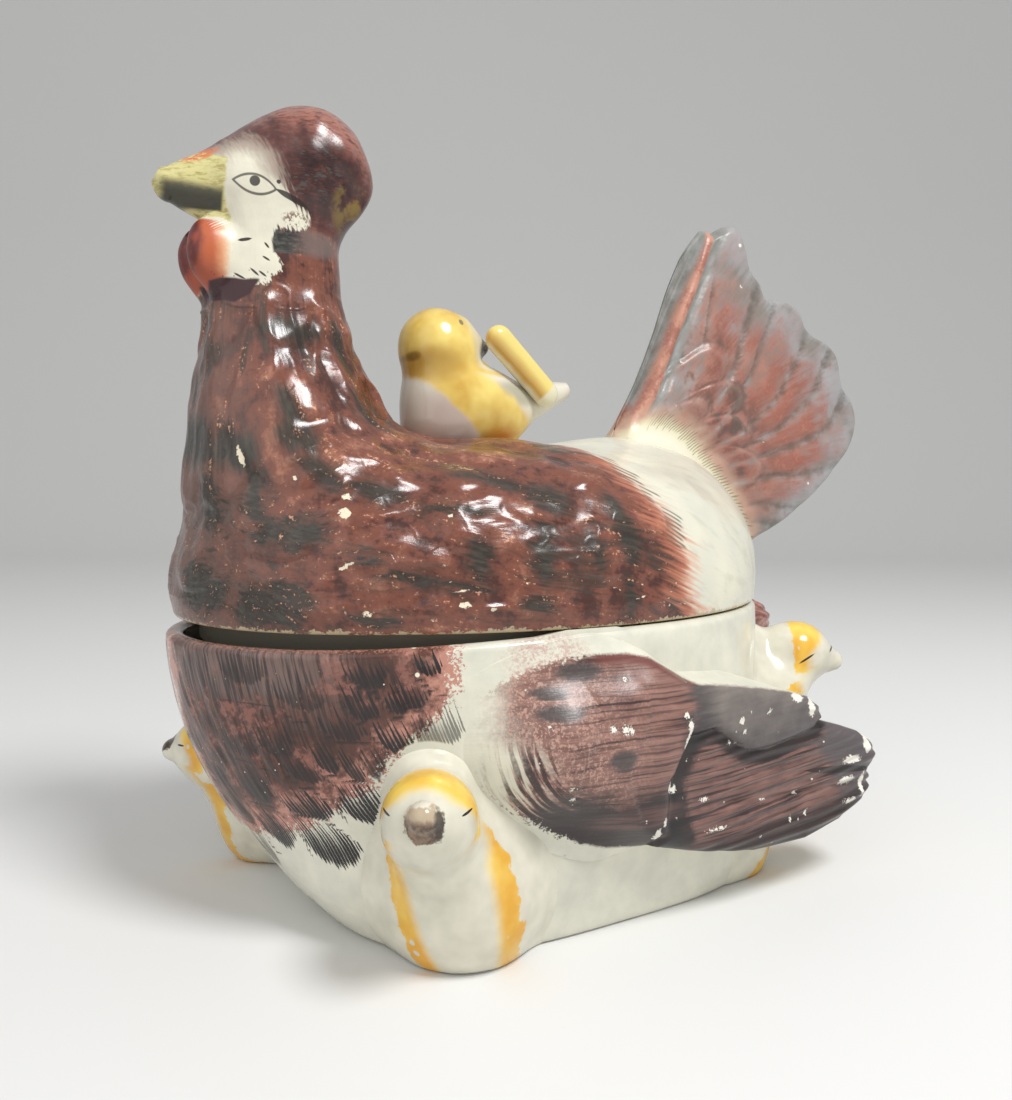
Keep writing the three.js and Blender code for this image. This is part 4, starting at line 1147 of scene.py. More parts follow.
def finial_glaze():
    """The small preening chick: yellow over white, with a grey beak and painted shade under its wings."""
    g = Glaze("finial_glaze")
    place = g.place()
    x, y, z = g.axes(place)
    mottle = g.noise(place, 0.11, 2.0, 0.5)
    fine = g.noise(place, 0.7, 2.0, 0.6)
    wave = mottle.sway(5.0) + fine.sway(0.6)
    yellow = g.colour((232, 208, 118), (206, 166, 74), mottle * 2.4 - 0.7)
    ochre = near(x, z, -24.0, 158.5, 9.0, 5.5, 1.6, 0.1)
    yellow = g.colour(yellow, (176, 134, 58), ochre * 0.7)
    yellow = g.colour(yellow, (212, 152, 60), near(x, z, -1.0, 136.5, 7.0, 3.5, 1.5, 0.2) * 0.8)
    band = (z - 158.5 + (x + 32.8) * 0.914 + wave).rise(-1.6, 1.6)
    rear = (z - 144.5 + (x - 9.0) * 0.68 + wave).rise(3.0, -2.6)
    rear = rear.most(z.rise(155.5, 157.5)).most(x.rise(-8.0, -11.0))
    low = (z - 134.5 - x * 0.04 + fine.sway(1.5)).rise(-0.8, 1.2)
    tail = (x - 17.0 + fine.sway(1.0)).rise(0.8, -0.6)
    white = g.colour((218, 212, 196), (190, 172, 160), near(x, z, -20.0, 141.0, 9.0, 11.0, 1.7, 0.1))
    # Grey on the body under the raised wings: painted shade.
    hollow = near(x, z, 4.0, 151.0, 12.0, 4.0, 1.6, 0.1)
    white = g.colour(white, (150, 148, 128), hollow * 0.7)
    g.ground(white, yellow, band * rear * low * tail)
    beak_face = (x + 8.6 + (z - 166.0) * 0.25 + wave * 0.4).rise(-4.5, 2.0) * (z - 158.0).rise(-1.0, 1.0)
    g.coat((220, 212, 180), beak_face * 0.9)
    beak = (x + 5.6 - abs(z - 164.0) * 0.25).rise(-0.6, 0.3)
    beak = beak * (z - 160.0).rise(0.0, 1.0) * y.rise(4.0, 3.0)
    g.coat(g.colour((128, 124, 116), (78, 76, 72), fine.rise(0.36, 0.62)), beak)
    eye = near(x, z, -14.5, 172.2, 0.9, 0.95, 1.3, 0.6) * y.rise(-4.0, -5.0)
    g.coat((128, 120, 86), eye)
    g.coat((112, 80, 40), near(x, z, -29.2, 161.0, 1.5, 1.5, 1.6, 0.1) * 0.7)
    wing = g.attribute("wing")
    across = (x - 7.7) * 0.675 + (z - 160.0) * 0.738 + mottle.sway(1.6)
    slab = g.colour((200, 158, 76), (230, 208, 124), across.rise(-3.2, 0.6))
    pale = across.rise(-3.2, -4.6).most((x - z + 137.0 + fine).rise(0.0, 1.6))
    slab = g.colour(slab, (220, 214, 184), pale)
    g.coat(slab, wing)
    specks = g.spots(place, 0.13).rise(0.035, 0.022)
    g.coat((110, 84, 46), specks * 0.8)
    return g.finish(fine * 0.04 + 0.13, fine * 0.02)


# Sitting chicks: head, foot of the breast, way they face in degrees from her left side, size, and how
# far the beak's tip lies above the middle of the head.
CHICKS = {
    "chick_front_left": ((-56, -73.5, 43.5), (-37, -56.5, 0), -30, 1.0, 4.2),
    "chick_rear_left": ((100, -41.3, 64.5), (55, -46, 0), 58, 1.0, -3),
    "chick_front_right": ((-83.5, 34.5, 37), (-62, 33, 0), -125, 0.92, -1),
    "chick_rear_right": ((56, 73, 44), (42, 54, 0), 150, 1.0, -1),
}


def dish_plan(z):
    """Middle, half length, half width and squareness of the dish's outside at a height."""
    up = np.clip(z / RIM, 0, 1.2)
    down = np.maximum(1 - up, 0)
    length = mix(DISH[0], DISH_FOOT[0], down**2.2)
    width = mix(DISH[1] + 2, DISH_FOOT[1], down**2.4) - 2 * up**4
    return mix(-1.5, 8, down**1.5), length, width, 2 + 1.3 * ease(34, 0, z)


def dish_wall(p):
    """Nearly the distance to the dish's outer wall, negative inside: k - 1 over its slope, where k is
    the length of the plan's point over the oval."""
    middle, length, width, n = dish_plan(p[..., 2])
    u, v = np.abs(p[..., 0] - middle) / length, np.abs(p[..., 1]) / width
    k = np.maximum(u**n + v**n, 1e-9) ** (1 / n)
    slope = k ** (1 - n) * np.hypot(u ** (n - 1) / length, v ** (n - 1) / width)
    return (k - 1) / np.maximum(slope, 1e-3)


def wall_side(x, z):
    """How far from the hen's middle plane the dish's wall stands: the height of the plan's oval."""
    middle, length, width, n = dish_plan(z)
    return width * np.maximum(1 - (np.abs(x - middle) / length) ** n, 0) ** (1 / n)


def chick_body(p, head, foot, turn, size, lift):
    """A chick on its own: an ellipsoid for the belly, a bar up the breast, a round head and a tapered
    bar for the beak, blended softly."""
    a = math.radians(turn)
    out = np.array([math.sin(a), -math.cos(a), 0.0])
    up = np.array([0.0, 0.0, 1.0])
    head, foot = np.array(head, float), np.array(foot, float)
    belly = mix(foot, head, 0.14)
    belly[2] = min(head[2] * 0.36, 17)
    d = ellipsoid(p, belly + out, (18 * size, 15 * size, head[2] * 0.46), 0, turn)
    d = soft(d, bar(p, belly + 4 * up, head - 3 * out - 4 * up, 15 * size, 10.5 * size), 9)
    d = soft(d, ellipsoid(p, head, (11.2 * size, 11.5 * size, 10.6 * size), 0, turn), 4)
    root = head + 6 * out + (lift / 2) * up
    tip = head + (13 * size - max(lift, 0) / 4) * out + lift * up
    return soft(d, bar(p, root, tip, 6.4 * size, 3.5), 4)


CHICK_FOOT = 0.3  # height of the chicks' under side
CHICK_FILLET = 14  # width of the fillet toward the dish
CHICK_HALO = 18.5  # bare cream round a front chick's head, partly a painted highlight


def chick_field(p, *chick):
    """A chick run into the dish's wall by a broad fillet."""
    d = chick_body(p, *chick)
    wall = dish_wall(p)
    d = np.maximum(soft(d, wall + 1.4, CHICK_FILLET), d - 9.5)
    d = np.maximum(d, CHICK_FOOT - p[..., 2])
    return np.maximum(d, -3.0 - wall)


def build_chick(name, relief):
    """One chick's skin, painted by how far each point lies forward, aside and up from the head."""
    head, foot, turn, size, _ = CHICKS[name]
    head, foot = np.array(head, float), np.array(foot, float)
    low = mix(foot, head, 0.2)
    low[2] = 14
    grid = core_grid(lambda p: chick_field(p, *CHICKS[name]), low, head, 300, 190)
    even = np.stack([blur(grid[..., axis], 16) for axis in range(3)], -1)
    crest = ease(0.8, 3.2, chick_body(grid, *CHICKS[name])) * ease(0, 7, grid[..., 2] - head[2])
    grid = mix(grid, even, crest[..., None])
    grid = grid + grid_normals(grid) * -0.15 * relief * cloud(grid, 7, 6)[..., None]
    grid[..., 2] = np.maximum(grid[..., 2], CHICK_FOOT)
    c, s = math.cos(math.radians(turn)), math.sin(math.radians(turn))
    away = (grid - head) / size
    forward = away[..., 0] * s - away[..., 1] * c
    side = away[..., 0] * c + away[..., 1] * s
    lean = ((foot[0] - head[0]) * c + (foot[1] - head[1]) * s) / size
    side = side - lean * np.clip(-away[..., 2] * size / head[2], 0, 1)
    local = np.stack([forward, side, away[..., 2]], -1)
    return Skins().add(grid, paint={"local": local, "sooty": float(name.startswith("chick_front"))})


def chick_glaze():
    """White chicks: a yellow band over the crown and broad flaked bands down both sides."""
    g = Glaze("chick_glaze")
    place = g.place()
    forward, side, up = g.axes(g.attribute("local", "Vector"))
    front = g.attribute("sooty")
    mottle = g.noise(place, 0.13, 2.0, 0.5)
    fine = g.noise(place, 0.5, 4.0, 0.65)
    wave = fine.sway(3.4)
    out = abs(side - 1.2)
    white = g.colour((224, 220, 202), (196, 192, 174), mottle * 1.8 - 0.5)
    radial = length_of(side, up - 1.0)
    limit = up.rise(-1.0, 7.0) * 5.5 + 2.5
    arch = (forward + 3.5 + wave).rise(-0.2, 0.5) * (limit - forward + wave * 0.5).rise(-1.5, 2.8)
    arch = arch * radial.rise(5.0, 7.6) * (up + 5.5 + wave).rise(-0.5, 0.8)
    down = (up / -43.0).most(0.0).least(1.0)
    middle = down * (1.0 - down) * 12.8 + 9.6
    half = up.rise(-7.0, -15.0) * (4.1 - front * 2.0) + 0.7
    outer = (middle + half - out + wave * 0.8 + mottle.sway(6.0)).rise(-0.2, 0.3)
    inner = (out - middle + half + wave * 0.3).rise(-1.4, 2.2)
    stripe = outer * inner * (up + 3.0).rise(0.5, -1.0) * (forward + 13.0 - up * 0.2).rise(-1.0, 1.0)
    yellow = g.colour((240, 208, 100), (222, 164, 52), mottle * 2.0 - 0.5 + inner.sway(0.5))
    flaked = g.spots((side, up, forward), 0.2).rise(0.22, 0.16) * mottle.rise(0.5, 0.56)
    g.ground(white, yellow, arch.most(stripe) * (1.0 - flaked))
    tip = length_of(side, up - 2.6) + fine.sway(3.4)
    beak = (forward - 10.2 + fine.sway(2.4)).rise(-0.4, 0.6) * tip.rise(5.0, 4.3) * front
    horn = g.colour((134, 110, 90), (86, 70, 58), fine.rise(0.4, 0.6))
    horn = g.colour(horn, (186, 168, 142), (up - 3.6 + wave).rise(-0.3, 1.2))
    horn = g.colour(horn, (46, 40, 38), (side - 2.6 + wave * 0.5).rise(-0.4, 0.4) * 0.8)
    g.coat(horn, beak)
    dash = near(abs(side), up - abs(side) * 0.1, 9.2, 2.2, 1.1, 0.32) * forward.rise(1.0, 2.0) * front
    lines = line_mark(forward, up, (-2.1, -2.4), (3.9, 1.2), 0.35)
    lines = lines.most(line_mark(forward, up, (10.0, 0.6), (12.9, 3.0), 0.35))
    lines = lines * out.rise(2.0, 3.0) * (1.0 - front)
    g.coat((44, 38, 36), dash.most(lines))
    return g.finish(fine * 0.05 + 0.14, fine * 0.03)


# Brushed tufts on the breast of the dish: distance round the rim from the front, height of the middle,
# width, length, lean, number of strokes, darkness.
TUFTS = [
    (84.5, 77.6, 7, 8, 0.3, 4, 0.9), (78.5, 69.3, 15, 12, 0.3, 8, 0.85),
    (83.5, 62.5, 16, 14, 0.25, 12, 0.45), (74.4, 59.7, 9, 13, 0.35, 5, 0.9),
    (68, 52, 13, 13, 0.35, 7, 0.6), (62.5, 42.5, 20, 17, 0.35, 11, 1.0), (61.8, 52, 6, 12, 0.35, 4, 0.8),
    (46.4, 30.5, 19, 17, 0.4, 12, 1.0), (44.5, 40.5, 16, 13, 0.35, 9, 0.95),
    (28.9, 31.5, 14, 15, 0.4, 10, 0.9), (14.1, 34, 12, 15, 0.4, 8, 0.7),
    (16.1, 22.5, 12, 14, 0.5, 7, 0.6), (29.3, 43, 12, 12, 0.3, 7, 0.7),
    (13.3, 44.7, 10, 11, 0.25, 5, 0.8), (55.8, 53.5, 8, 10, 0.3, 4, 0.85), (49, 50, 12, 9, 0.3, 6, 0.6),
    (66.8, 67.5, 9, 12, 0.35, 5, 0.8), (61.9, 62, 12, 10, 0.3, 6, 0.55), (69.9, 75, 12, 9, 0.35, 6, 0.7),
    (43.3, 57, 12, 11, 0.25, 6, 0.6), (30, 56, 13, 12, 0.2, 7, 0.5), (53, 70, 16, 11, 0.2, 9, 0.35),
    (36, 75, 14, 10, 0.1, 8, 0.35), (2, 52, 14, 12, 0.0, 8, 0.6), (-2, 32, 14, 14, 0.0, 9, 0.7),
    (-16, 43, 14, 12, -0.3, 8, 0.7), (-18, 27, 14, 14, -0.4, 9, 0.8), (-34, 36, 16, 14, -0.4, 9, 0.9),
    (-34, 54, 13, 12, -0.3, 7, 0.6), (-52, 46, 18, 14, -0.35, 10, 0.9), (-66, 58, 14, 13, -0.35, 8, 0.8),
    (-52, 66, 14, 12, -0.3, 8, 0.5), (-78, 70, 15, 12, -0.3, 8, 0.8),
]
# Edge of the brown breast on the dish: distance round the rim from the front and height.
PATCH = [
    (90.5, 88), (91, 81), (91.6, 76), (88.5, 67), (82, 60.5), (75, 55), (69, 49), (62, 44),
    (52, 39), (42, 33), (30, 28), (16, 25), (0, 24),
]


def tuft_paint(along, z):
    """For the nearest brushed tuft: place across and down it, how clear of others, and its kind."""
    best = np.full(z.shape, 1e9)
    second = np.full(z.shape, 1e9)
    place = np.zeros(z.shape + (3,))
    kind = np.zeros(z.shape + (3,))
    for number, (middle, height, width, length, lean, strokes, dark) in enumerate(TUFTS):
        s = (along - middle + (z - height) * lean) / width
        t = (height + length / 2 - z) / length
        away = np.maximum(np.abs(s) * width, np.abs(t - 0.5) * length)
        nearer = away < best
        second = np.where(nearer, best, np.minimum(second, away))
        best = np.where(nearer, away, best)
        place[nearer] = np.stack([s, t, 0 * s], -1)[nearer]
        kind[nearer] = (strokes, dark, number)
    place[..., 2] = (second - best) / 2
    return place, kind


def tuft_marks(g, wave):
    """Brush strokes side by side, thin at the top and nearly merged at the rounded bottom."""
    s, t, clear = g.axes(g.attribute("tuft", "Vector"))
    strokes, dark, number = g.axes(g.attribute("tuft_kind", "Vector"))
    s = s + wave * 0.03
    place = s * strokes * 1.5 + 0.5
    line = place.floor()
    chance = g.random(line, number)
    stripe = abs(place - line - 0.5) * 2.0
    top = chance * 0.5 - 0.15
    end = 1.0 - (s * 2.0) ** 2.0 * 0.3 - chance * 0.08
    wide = (t - top).rise(0.0, 0.75) * 0.95 * (end - t).rise(-0.01, 0.1)
    wide = wide * (0.5 - abs(s)).rise(-0.02, 0.03)
    marks = (wide - stripe).rise(-0.16, 0.1) * wide.rise(0.0, 0.12)
    core = (t - 0.3).rise(0.0, 0.5) * (end - t).rise(0.0, 0.2) * (0.42 - abs(s)).rise(0.0, 0.2)
    return marks.most(core * 0.75) * (dark * 0.6 + 0.45).least(1.0) * clear.rise(0.1, 0.6)


def cream_ground(g, place):
    """The bare white glaze, with broad cooler clouds in it."""
    clouds = g.noise(place, 0.12, 3.0, 0.6)
    cream = g.colour((226, 223, 206), (200, 200, 186), (clouds * 1.6 - 0.35).most(0.0))
    x, _, z = g.axes(place)
    dust = g.noise(place, 1.2, 4.0, 0.7) + clouds.sway(0.4)
    patch = near(x, z, -22.0, 77.0, 11.5, 7.5, 1.5, 0.2) * dust.rise(0.38, 0.62)
    return g.colour(cream, (190, 142, 130), patch * 0.7)


def dish_glaze():
    """Cream glaze with a stippled brown breast under brushed tufts."""
    g = Glaze("dish_glaze")
    around, z = g.uv()
    place = g.place()
    mottle = g.noise(place, 0.12, 3.0, 0.6)
    fine = g.noise(place, 0.75, 4.0, 0.7)
    grain = g.noise(place, 1.6, 2.0, 0.6)
    hair = g.noise((around * 0.9 + z * 0.12, z * 0.05, 0.0), 1.0, 2.0, 0.6)
    patch = g.attribute("patch")
    stipple = (patch + fine.sway(13.0) + grain.sway(6.0)).rise(-0.3, 0.5) * patch.rise(-7.0, -3.5)
    shade = patch + fine.sway(16.0) + mottle.sway(34.0)
    brown = g.colour((188, 134, 118), (96, 60, 50), shade.rise(0.0, 9.0))
    deep = (mottle + hair.sway(0.7)).rise(0.4, 0.62) * patch.rise(4.0, 14.0)
    brown = g.colour(brown, (54, 34, 30), deep * 0.9)
    light = (mottle - fine.sway(0.5)).rise(0.46, 0.36) * patch.rise(5.0, 12.0)
    brown = g.colour(brown, (150, 98, 86), light * 0.7)
    grey = (z - 60.0 + mottle.sway(30.0)).rise(0.0, 14.0)
    grey = grey * around.rise(76.0, 46.0) * abs(around).rise(4.0, 16.0)
    mauve = g.colour((128, 108, 102), (66, 56, 54), hair.rise(0.42, 0.62))
    brown = g.colour(brown, mauve, grey * 0.75)
    g.ground(cream_ground(g, place), brown, stipple)
    g.coat((32, 29, 29), tuft_marks(g, fine - 0.5))
    lip = (z - g.attribute("rim") + 0.2 + grain.sway(3.0)).rise(-0.5, 0.4) * patch.rise(-6.0, 0.0)
    g.coat((184, 134, 118), lip * fine.rise(0.4, 0.54) * 0.85)
    chips = g.spots(place, 0.34).rise(0.09, 0.05) * mottle.rise(0.5, 0.6)
    chips = chips.most(g.spots(place, 0.1).rise(0.075, 0.05))
    g.coat((236, 228, 206), chips * patch.rise(0.0, 3.0))
    g.coat((206, 204, 188), g.attribute("inside"))
    return g.finish(grain * 0.05 + 0.14, fine * 0.04)


def build_dish(relief):
    """Outer wall, rolled rim, inner wall and floor of the bowl in one closed grid. Each ring is the
    plan's oval at its height, inset by some millimetres."""
    columns = 800
    turn = np.arange(columns) / columns * 2 * np.pi
    c, s = np.cos(turn), np.sin(turn)
    shape = np.stack([DISH[0] * c, DISH[1] * s], -1)
    steps = np.linalg.norm(np.roll(shape, -1, axis=0) - shape, axis=1)
    arc = np.concatenate([[0], np.cumsum(steps)])
    arc = arc - arc[columns // 2]
    middle, length, _, _ = dish_plan(RIM)
    dip = RIM_DIP * (1 - ease(-88, 8, middle + length * c))
    rows, inside = [], []

    def ring(z, thinner, drop, inner=0.0):
        """One ring round the bowl, at a height less the drop and inset by some millimetres."""
        m, a, b, n = dish_plan(np.asarray(z, float))
        far = (np.abs(c) ** n + np.abs(s) ** n) ** (-1 / n)
        x, y = m + (a - thinner) * far * c, (b - thinner) * far * s
        rows.append(np.stack([x, y, z - drop + 0 * c], -1))
        inside.append(inner)

    for thinner, z in ((30.0, 0.6), (8.0, 0.5), (5.0, 0.0), (1.6, 0.0), (0.5, 0.45)):
        ring(z, thinner, 0.0)
    for z in np.linspace(1.4, RIM - 2.2, 62):
        ring(z, 0.0, dip * z / RIM)
    lip = DISH_WALL / 2
    for angle in np.radians(np.linspace(12, 168, 9)):
        ring(RIM - LIP_HEIGHT + LIP_HEIGHT * math.sin(angle), lip - lip * math.cos(angle), dip)
    for z in np.linspace(RIM - 3, DISH_FLOOR + 9, 18):
        ring(z, DISH_WALL, dip * z / RIM, 1.0)
    r = FLOOR_FILLET
    for angle in np.radians(np.linspace(15, 90, 6)):
        ring(DISH_FLOOR + r - r * math.sin(angle), DISH_WALL + r - r * math.cos(angle), 0.0, 1.0)
    for thinner in (22.0, 36.0, 52.0):
        ring(DISH_FLOOR, thinner, 0.0, 1.0)
    grid = np.stack(rows)
    inside = np.array(inside)[:, None] + 0 * grid[..., 2]
    z = grid[..., 2].copy()
    along = arc[:columns][None] + 0 * z
    patch = outline(-np.abs(along), z, [(-a, b) for a, b in PATCH] + [(0, 88)])
    patch = patch + 1.4 * cloud(np.stack([along, z], -1), 7, 12)
    # Round the front chicks' heads the brown breast stops and leaves the cream ground: partly a painted
    # highlight.
    halo = np.full(z.shape, 1e3)
    for name in ("chick_front_left", "chick_front_right"):
        away = np.linalg.norm(grid - np.array(CHICKS[name][0], float), axis=-1)
        halo = np.minimum(halo, away - CHICK_HALO)
    patch = np.minimum(patch, halo)
    outer = ease(2, 8, z) * (1 - inside) * ease(0.5, 4, RIM - dip - z)
    swell = 0.5 * cloud(grid, 22, 41) + 0.25 * cloud(grid, 8, 42)
    comb = 0.22 * cloud(np.stack([(along + 0.35 * z) / 1.5, z / 9], -1), 1, 43) * ease(0, 6, patch)
    grid = grid + grid_normals(grid) * (-relief * outer * (swell + comb))[..., None]
    uv = wrapped(along, z)
    uv[:, -1, 0] = arc[-1]
    tuft, kind = tuft_paint(along, z)
    tuft[..., 2] = np.minimum(tuft[..., 2], halo)
    paint = {"patch": patch, "inside": inside, "rim": RIM - dip + 0 * z, "tuft": tuft, "tuft_kind": kind}
    return Skins().add(grid, uv, paint)


# Outlines of a wing's layers, seen from the side: x and z.
COVERTS = [
    (-48, 56), (-42, 66), (-33, 73), (-22, 77), (-9, 78), (0, 77.6), (7, 76), (15, 71.5), (21, 68),
    (19.5, 58), (15.2, 50.4), (11.8, 43.5), (12.6, 33.5), (15.2, 25.5), (7, 24.5), (-5, 26),
    (-13, 28.5), (-22, 33), (-31, 39), (-40, 46.5),
]
LONG_FEATHERS = [
    (8, 66), (20, 64), (40, 58), (60, 53), (72, 51.4), (82, 48.4), (90, 45.6), (95.5, 42.2), (98, 38),
    (97, 35), (94.2, 33.2), (96, 31), (96, 27.4), (92, 23.6), (82, 19), (66, 16), (45, 16.6), (24, 20.5),
    (8, 25),
]
TOP_FEATHER = [
    (8, 70), (20, 68.2), (31, 66.8), (44, 64.6), (56, 62.2), (64, 60), (69, 56.6), (70.6, 52.8),
    (67.4, 50.2), (58, 48.2), (47, 46.6), (40, 47.2), (34.5, 50), (30, 53.4), (26, 55.6), (19, 54.6),
    (8, 55),
]
# Highest and lowest edge of a wing's whole outline along its length.
WING_TOP = [
    (-54, 58), (-48, 68), (-40, 76), (-28, 82), (-15, 84), (0, 84), (10, 81), (21, 74), (35, 69.5),
    (48, 65.5), (56, 62.6), (64, 60), (67.5, 57.9), (69.6, 55.2), (70.8, 52), (74, 50.8), (82, 48.4),
    (90, 45.6), (94, 43.3), (96.6, 41), (98, 38.2),
]
WING_LOW = [
    (-54, 54), (-48, 44), (-40, 37), (-31, 30), (-22, 24), (-13, 20), (0, 17), (15, 15), (30, 14.5),
    (45, 14.6), (60, 15.2), (66, 16), (82, 19), (92, 23.6), (95.4, 26.8), (96.3, 30), (97, 34),
    (98, 37.8),
]


# White chips on a wing, seen from the side: x, z, half length and half height.
WING_CHIPS = [
    (-9.4, 60.2, 0.9, 1.0), (-6.2, 59.8, 0.9, 1.2), (-4.4, 59.4, 0.7, 1.0), (13.5, 61.2, 0.8, 0.8),
    (15, 57.8, 1.1, 2.2), (14.4, 53.2, 1.4, 3.2), (9.6, 42.4, 1.2, 1.8), (12.2, 40.8, 1.0, 1.2),
    (9, 32.8, 0.7, 1.3), (7, 29.6, 1.0, 2.0), (-21.2, 47, 0.9, 0.5), (-20, 43.8, 0.5, 0.9),
    (35.1, 56.8, 1.1, 1.1), (36.2, 53.7, 0.7, 0.7), (32, 50.6, 0.6, 0.6), (46, 58, 0.7, 0.9),
    (60, 31.6, 0.8, 0.7), (64, 25.2, 0.6, 1.0), (57.5, 24.4, 0.5, 0.9), (28.6, 27.1, 3.4, 0.5),
    (46, 32.1, 1.0, 0.5), (23.3, 36.3, 1.4, 0.6), (58.5, 60.4, 2.6, 1.3), (64.6, 57.2, 1.6, 3.2),
    (92, 42, 2.0, 2.8), (84.5, 38, 4.2, 1.3), (82.5, 31.6, 3.8, 1.4), (90, 29.5, 1.0, 4.2),
    (84, 25.2, 2.6, 0.8), (-26, 62, 0.5, 0.4), (-3, 71.6, 0.6, 0.6),
]


# Grey smudges on its front part, in the same way.
WING_SMUDGES = [(-15, 74, 6.5, 2.4), (-23, 64.8, 6, 2), (-7, 52.2, 4.4, 2.6), (-24, 69.5, 5, 1.6)]


def step(edge, radius):
    """A rounded edge: 0 at the outline, 1 at the radius inside it, sharply down outside."""
    t = np.clip(edge / radius, 0, 1)
    return np.where(edge > 0, np.sqrt(1 - (1 - t) ** 2), edge * 2.5)


def wing_side(x, z):
    """Distance of a wing's outer surface from her middle plane, and masks for its paint: the largest
    of a domed shoulder and two flat layers, each with a rounded step at its outline."""
    coverts = outline(x, z, COVERTS)
    flight = outline(x, z, LONG_FEATHERS)
    top = outline(x, z, TOP_FEATHER)
    rib = np.exp(-((z - 34 + 0.06 * (x - 20)) / 1.3) ** 2) * ease(16, 30, x)
    shaft = 0.25 * np.sin((z - 0.1 * x) * 1.9 + 1.3 * np.sin(x / 9)) * ease(16, 24, x)
    wall = wall_side(x, z)
    crowned = 74.5 + 8.5 * (1 - ((z - 51) / 33) ** 2) + 1.0 * ease(-15, 10, x)
    rear = ease(-12, 13, x)
    oval = (1 - np.hypot((x + 8) / 41, (z - 54) / 26)) * 26
    inset = mix(coverts + mix(5, 1, rear), oval + 3, ease(-14, -30, x))
    t = np.clip(inset / mix(22, 5, rear), 0, 1)
    shoulder = mix(t * t * (3 - 2 * t), np.sqrt(1 - (1 - t) ** 2), ease(-22, 13, x))
    deep = mix(2.4, 6, rear)
    a = wall - deep + (crowned - wall + deep) * shoulder * ease(-56, -22, x) ** 0.6
    b = 75.0 + 3.4 * step(flight, 4.5) - 1.0 * rib + shaft + 1.6 * ease(95, 20, x)
    c = 77.6 + 2.6 * step(top, 3.2) + 0.7 * shaft + 2.0 * ease(72, 20, x)
    y = np.where(inset > 0, a, 0)
    y = np.maximum(y, np.where(flight > -3, b, 0))
    y = np.maximum(y, np.where(top > -3, c, 0))
    row = (x + 46 + 3.5 * np.sin(z / 6)) / 15
    scale = ease(-0.1, 1.15, row - np.floor(row)) * ease(4, 12, coverts) * ease(-36, -22, x)
    y = y + np.where((a > np.maximum(b, c)) & (coverts > 0), 0.7 * scale, 0)
    chip = np.full(x.shape, -30.0)
    for cx, cz, wide, high in WING_CHIPS:
        away = np.hypot((x - cx) / wide, (z - cz) / high)
        chip = np.maximum(chip, (1 - away) * min(wide, high))
    return y, {"coverts": coverts, "flight": flight, "top": top, "chip": chip}


def build_wing(side, relief):
    """Rings along the length: the outer face carries the layers, the inner face is plain."""
    rows = rows_between([-54, -44, 60, 74, 88, 97.95], [16, 120, 52, 20, 34])
    outer, inner = 190, 50
    top = np.interp(rows, *np.transpose(WING_TOP))[:, None]
    low = np.interp(rows, *np.transpose(WING_LOW))[:, None]
    c = np.sin(np.linspace(-1, 1, outer) * np.pi / 2)[None]
    z = (top + low) / 2 + (top - low) / 2 * c
    x = rows[:, None] + 0 * z
    face, masks = wing_side(x, z)
    wall = wall_side(x, z)
    merge = 9 - 8.5 * ease(30, 66, x)
    gap = np.maximum(merge - np.abs(face - wall + 0.8), 0) / merge
    face = np.maximum(face, wall - 0.8) + gap * gap * merge / 4 * ease(-50, -26, x)
    clear = ease(58, 80, x)
    under = np.maximum(face, 66 * clear)
    back_c = np.sin(np.linspace(1, -1, inner + 2)[1:-1] * np.pi / 2)[None]
    back_z = (top + low) / 2 + (top - low) / 2 * back_c
    back_edge = np.minimum(top - back_z, back_z - low)
    back_x = rows[:, None] + 0 * back_z
    rounded = 2.6 * (1 - step(np.maximum(back_edge, 1e-6), 2.6))
    hidden = np.minimum(wall_side(back_x, back_z) - 3.6, 69)
    back = mix(hidden, 69.0, ease(62, 82, back_x)) + rounded * clear[:, :1]
    grid_x = np.concatenate([x, back_x], axis=1)
    grid_y = side * np.concatenate([under, np.minimum(back, 76)], axis=1)
    grid_z = np.concatenate([z, back_z], axis=1)
    fine = relief * 0.25 * cloud(np.stack([grid_x / 3, grid_z], -1), 4, 9)
    fine[:, outer:] = 0
    grid_y = grid_y + side * fine
    paint = {}
    for name, values in masks.items():
        paint[name] = np.concatenate([values, 0 * back_z - 5.0], axis=1)
    paint["depth"] = np.concatenate([face - wall, 0 * back_z + 9.0], axis=1)
    return Skins().add(np.stack([grid_x, grid_y, grid_z], -1), paint=paint)


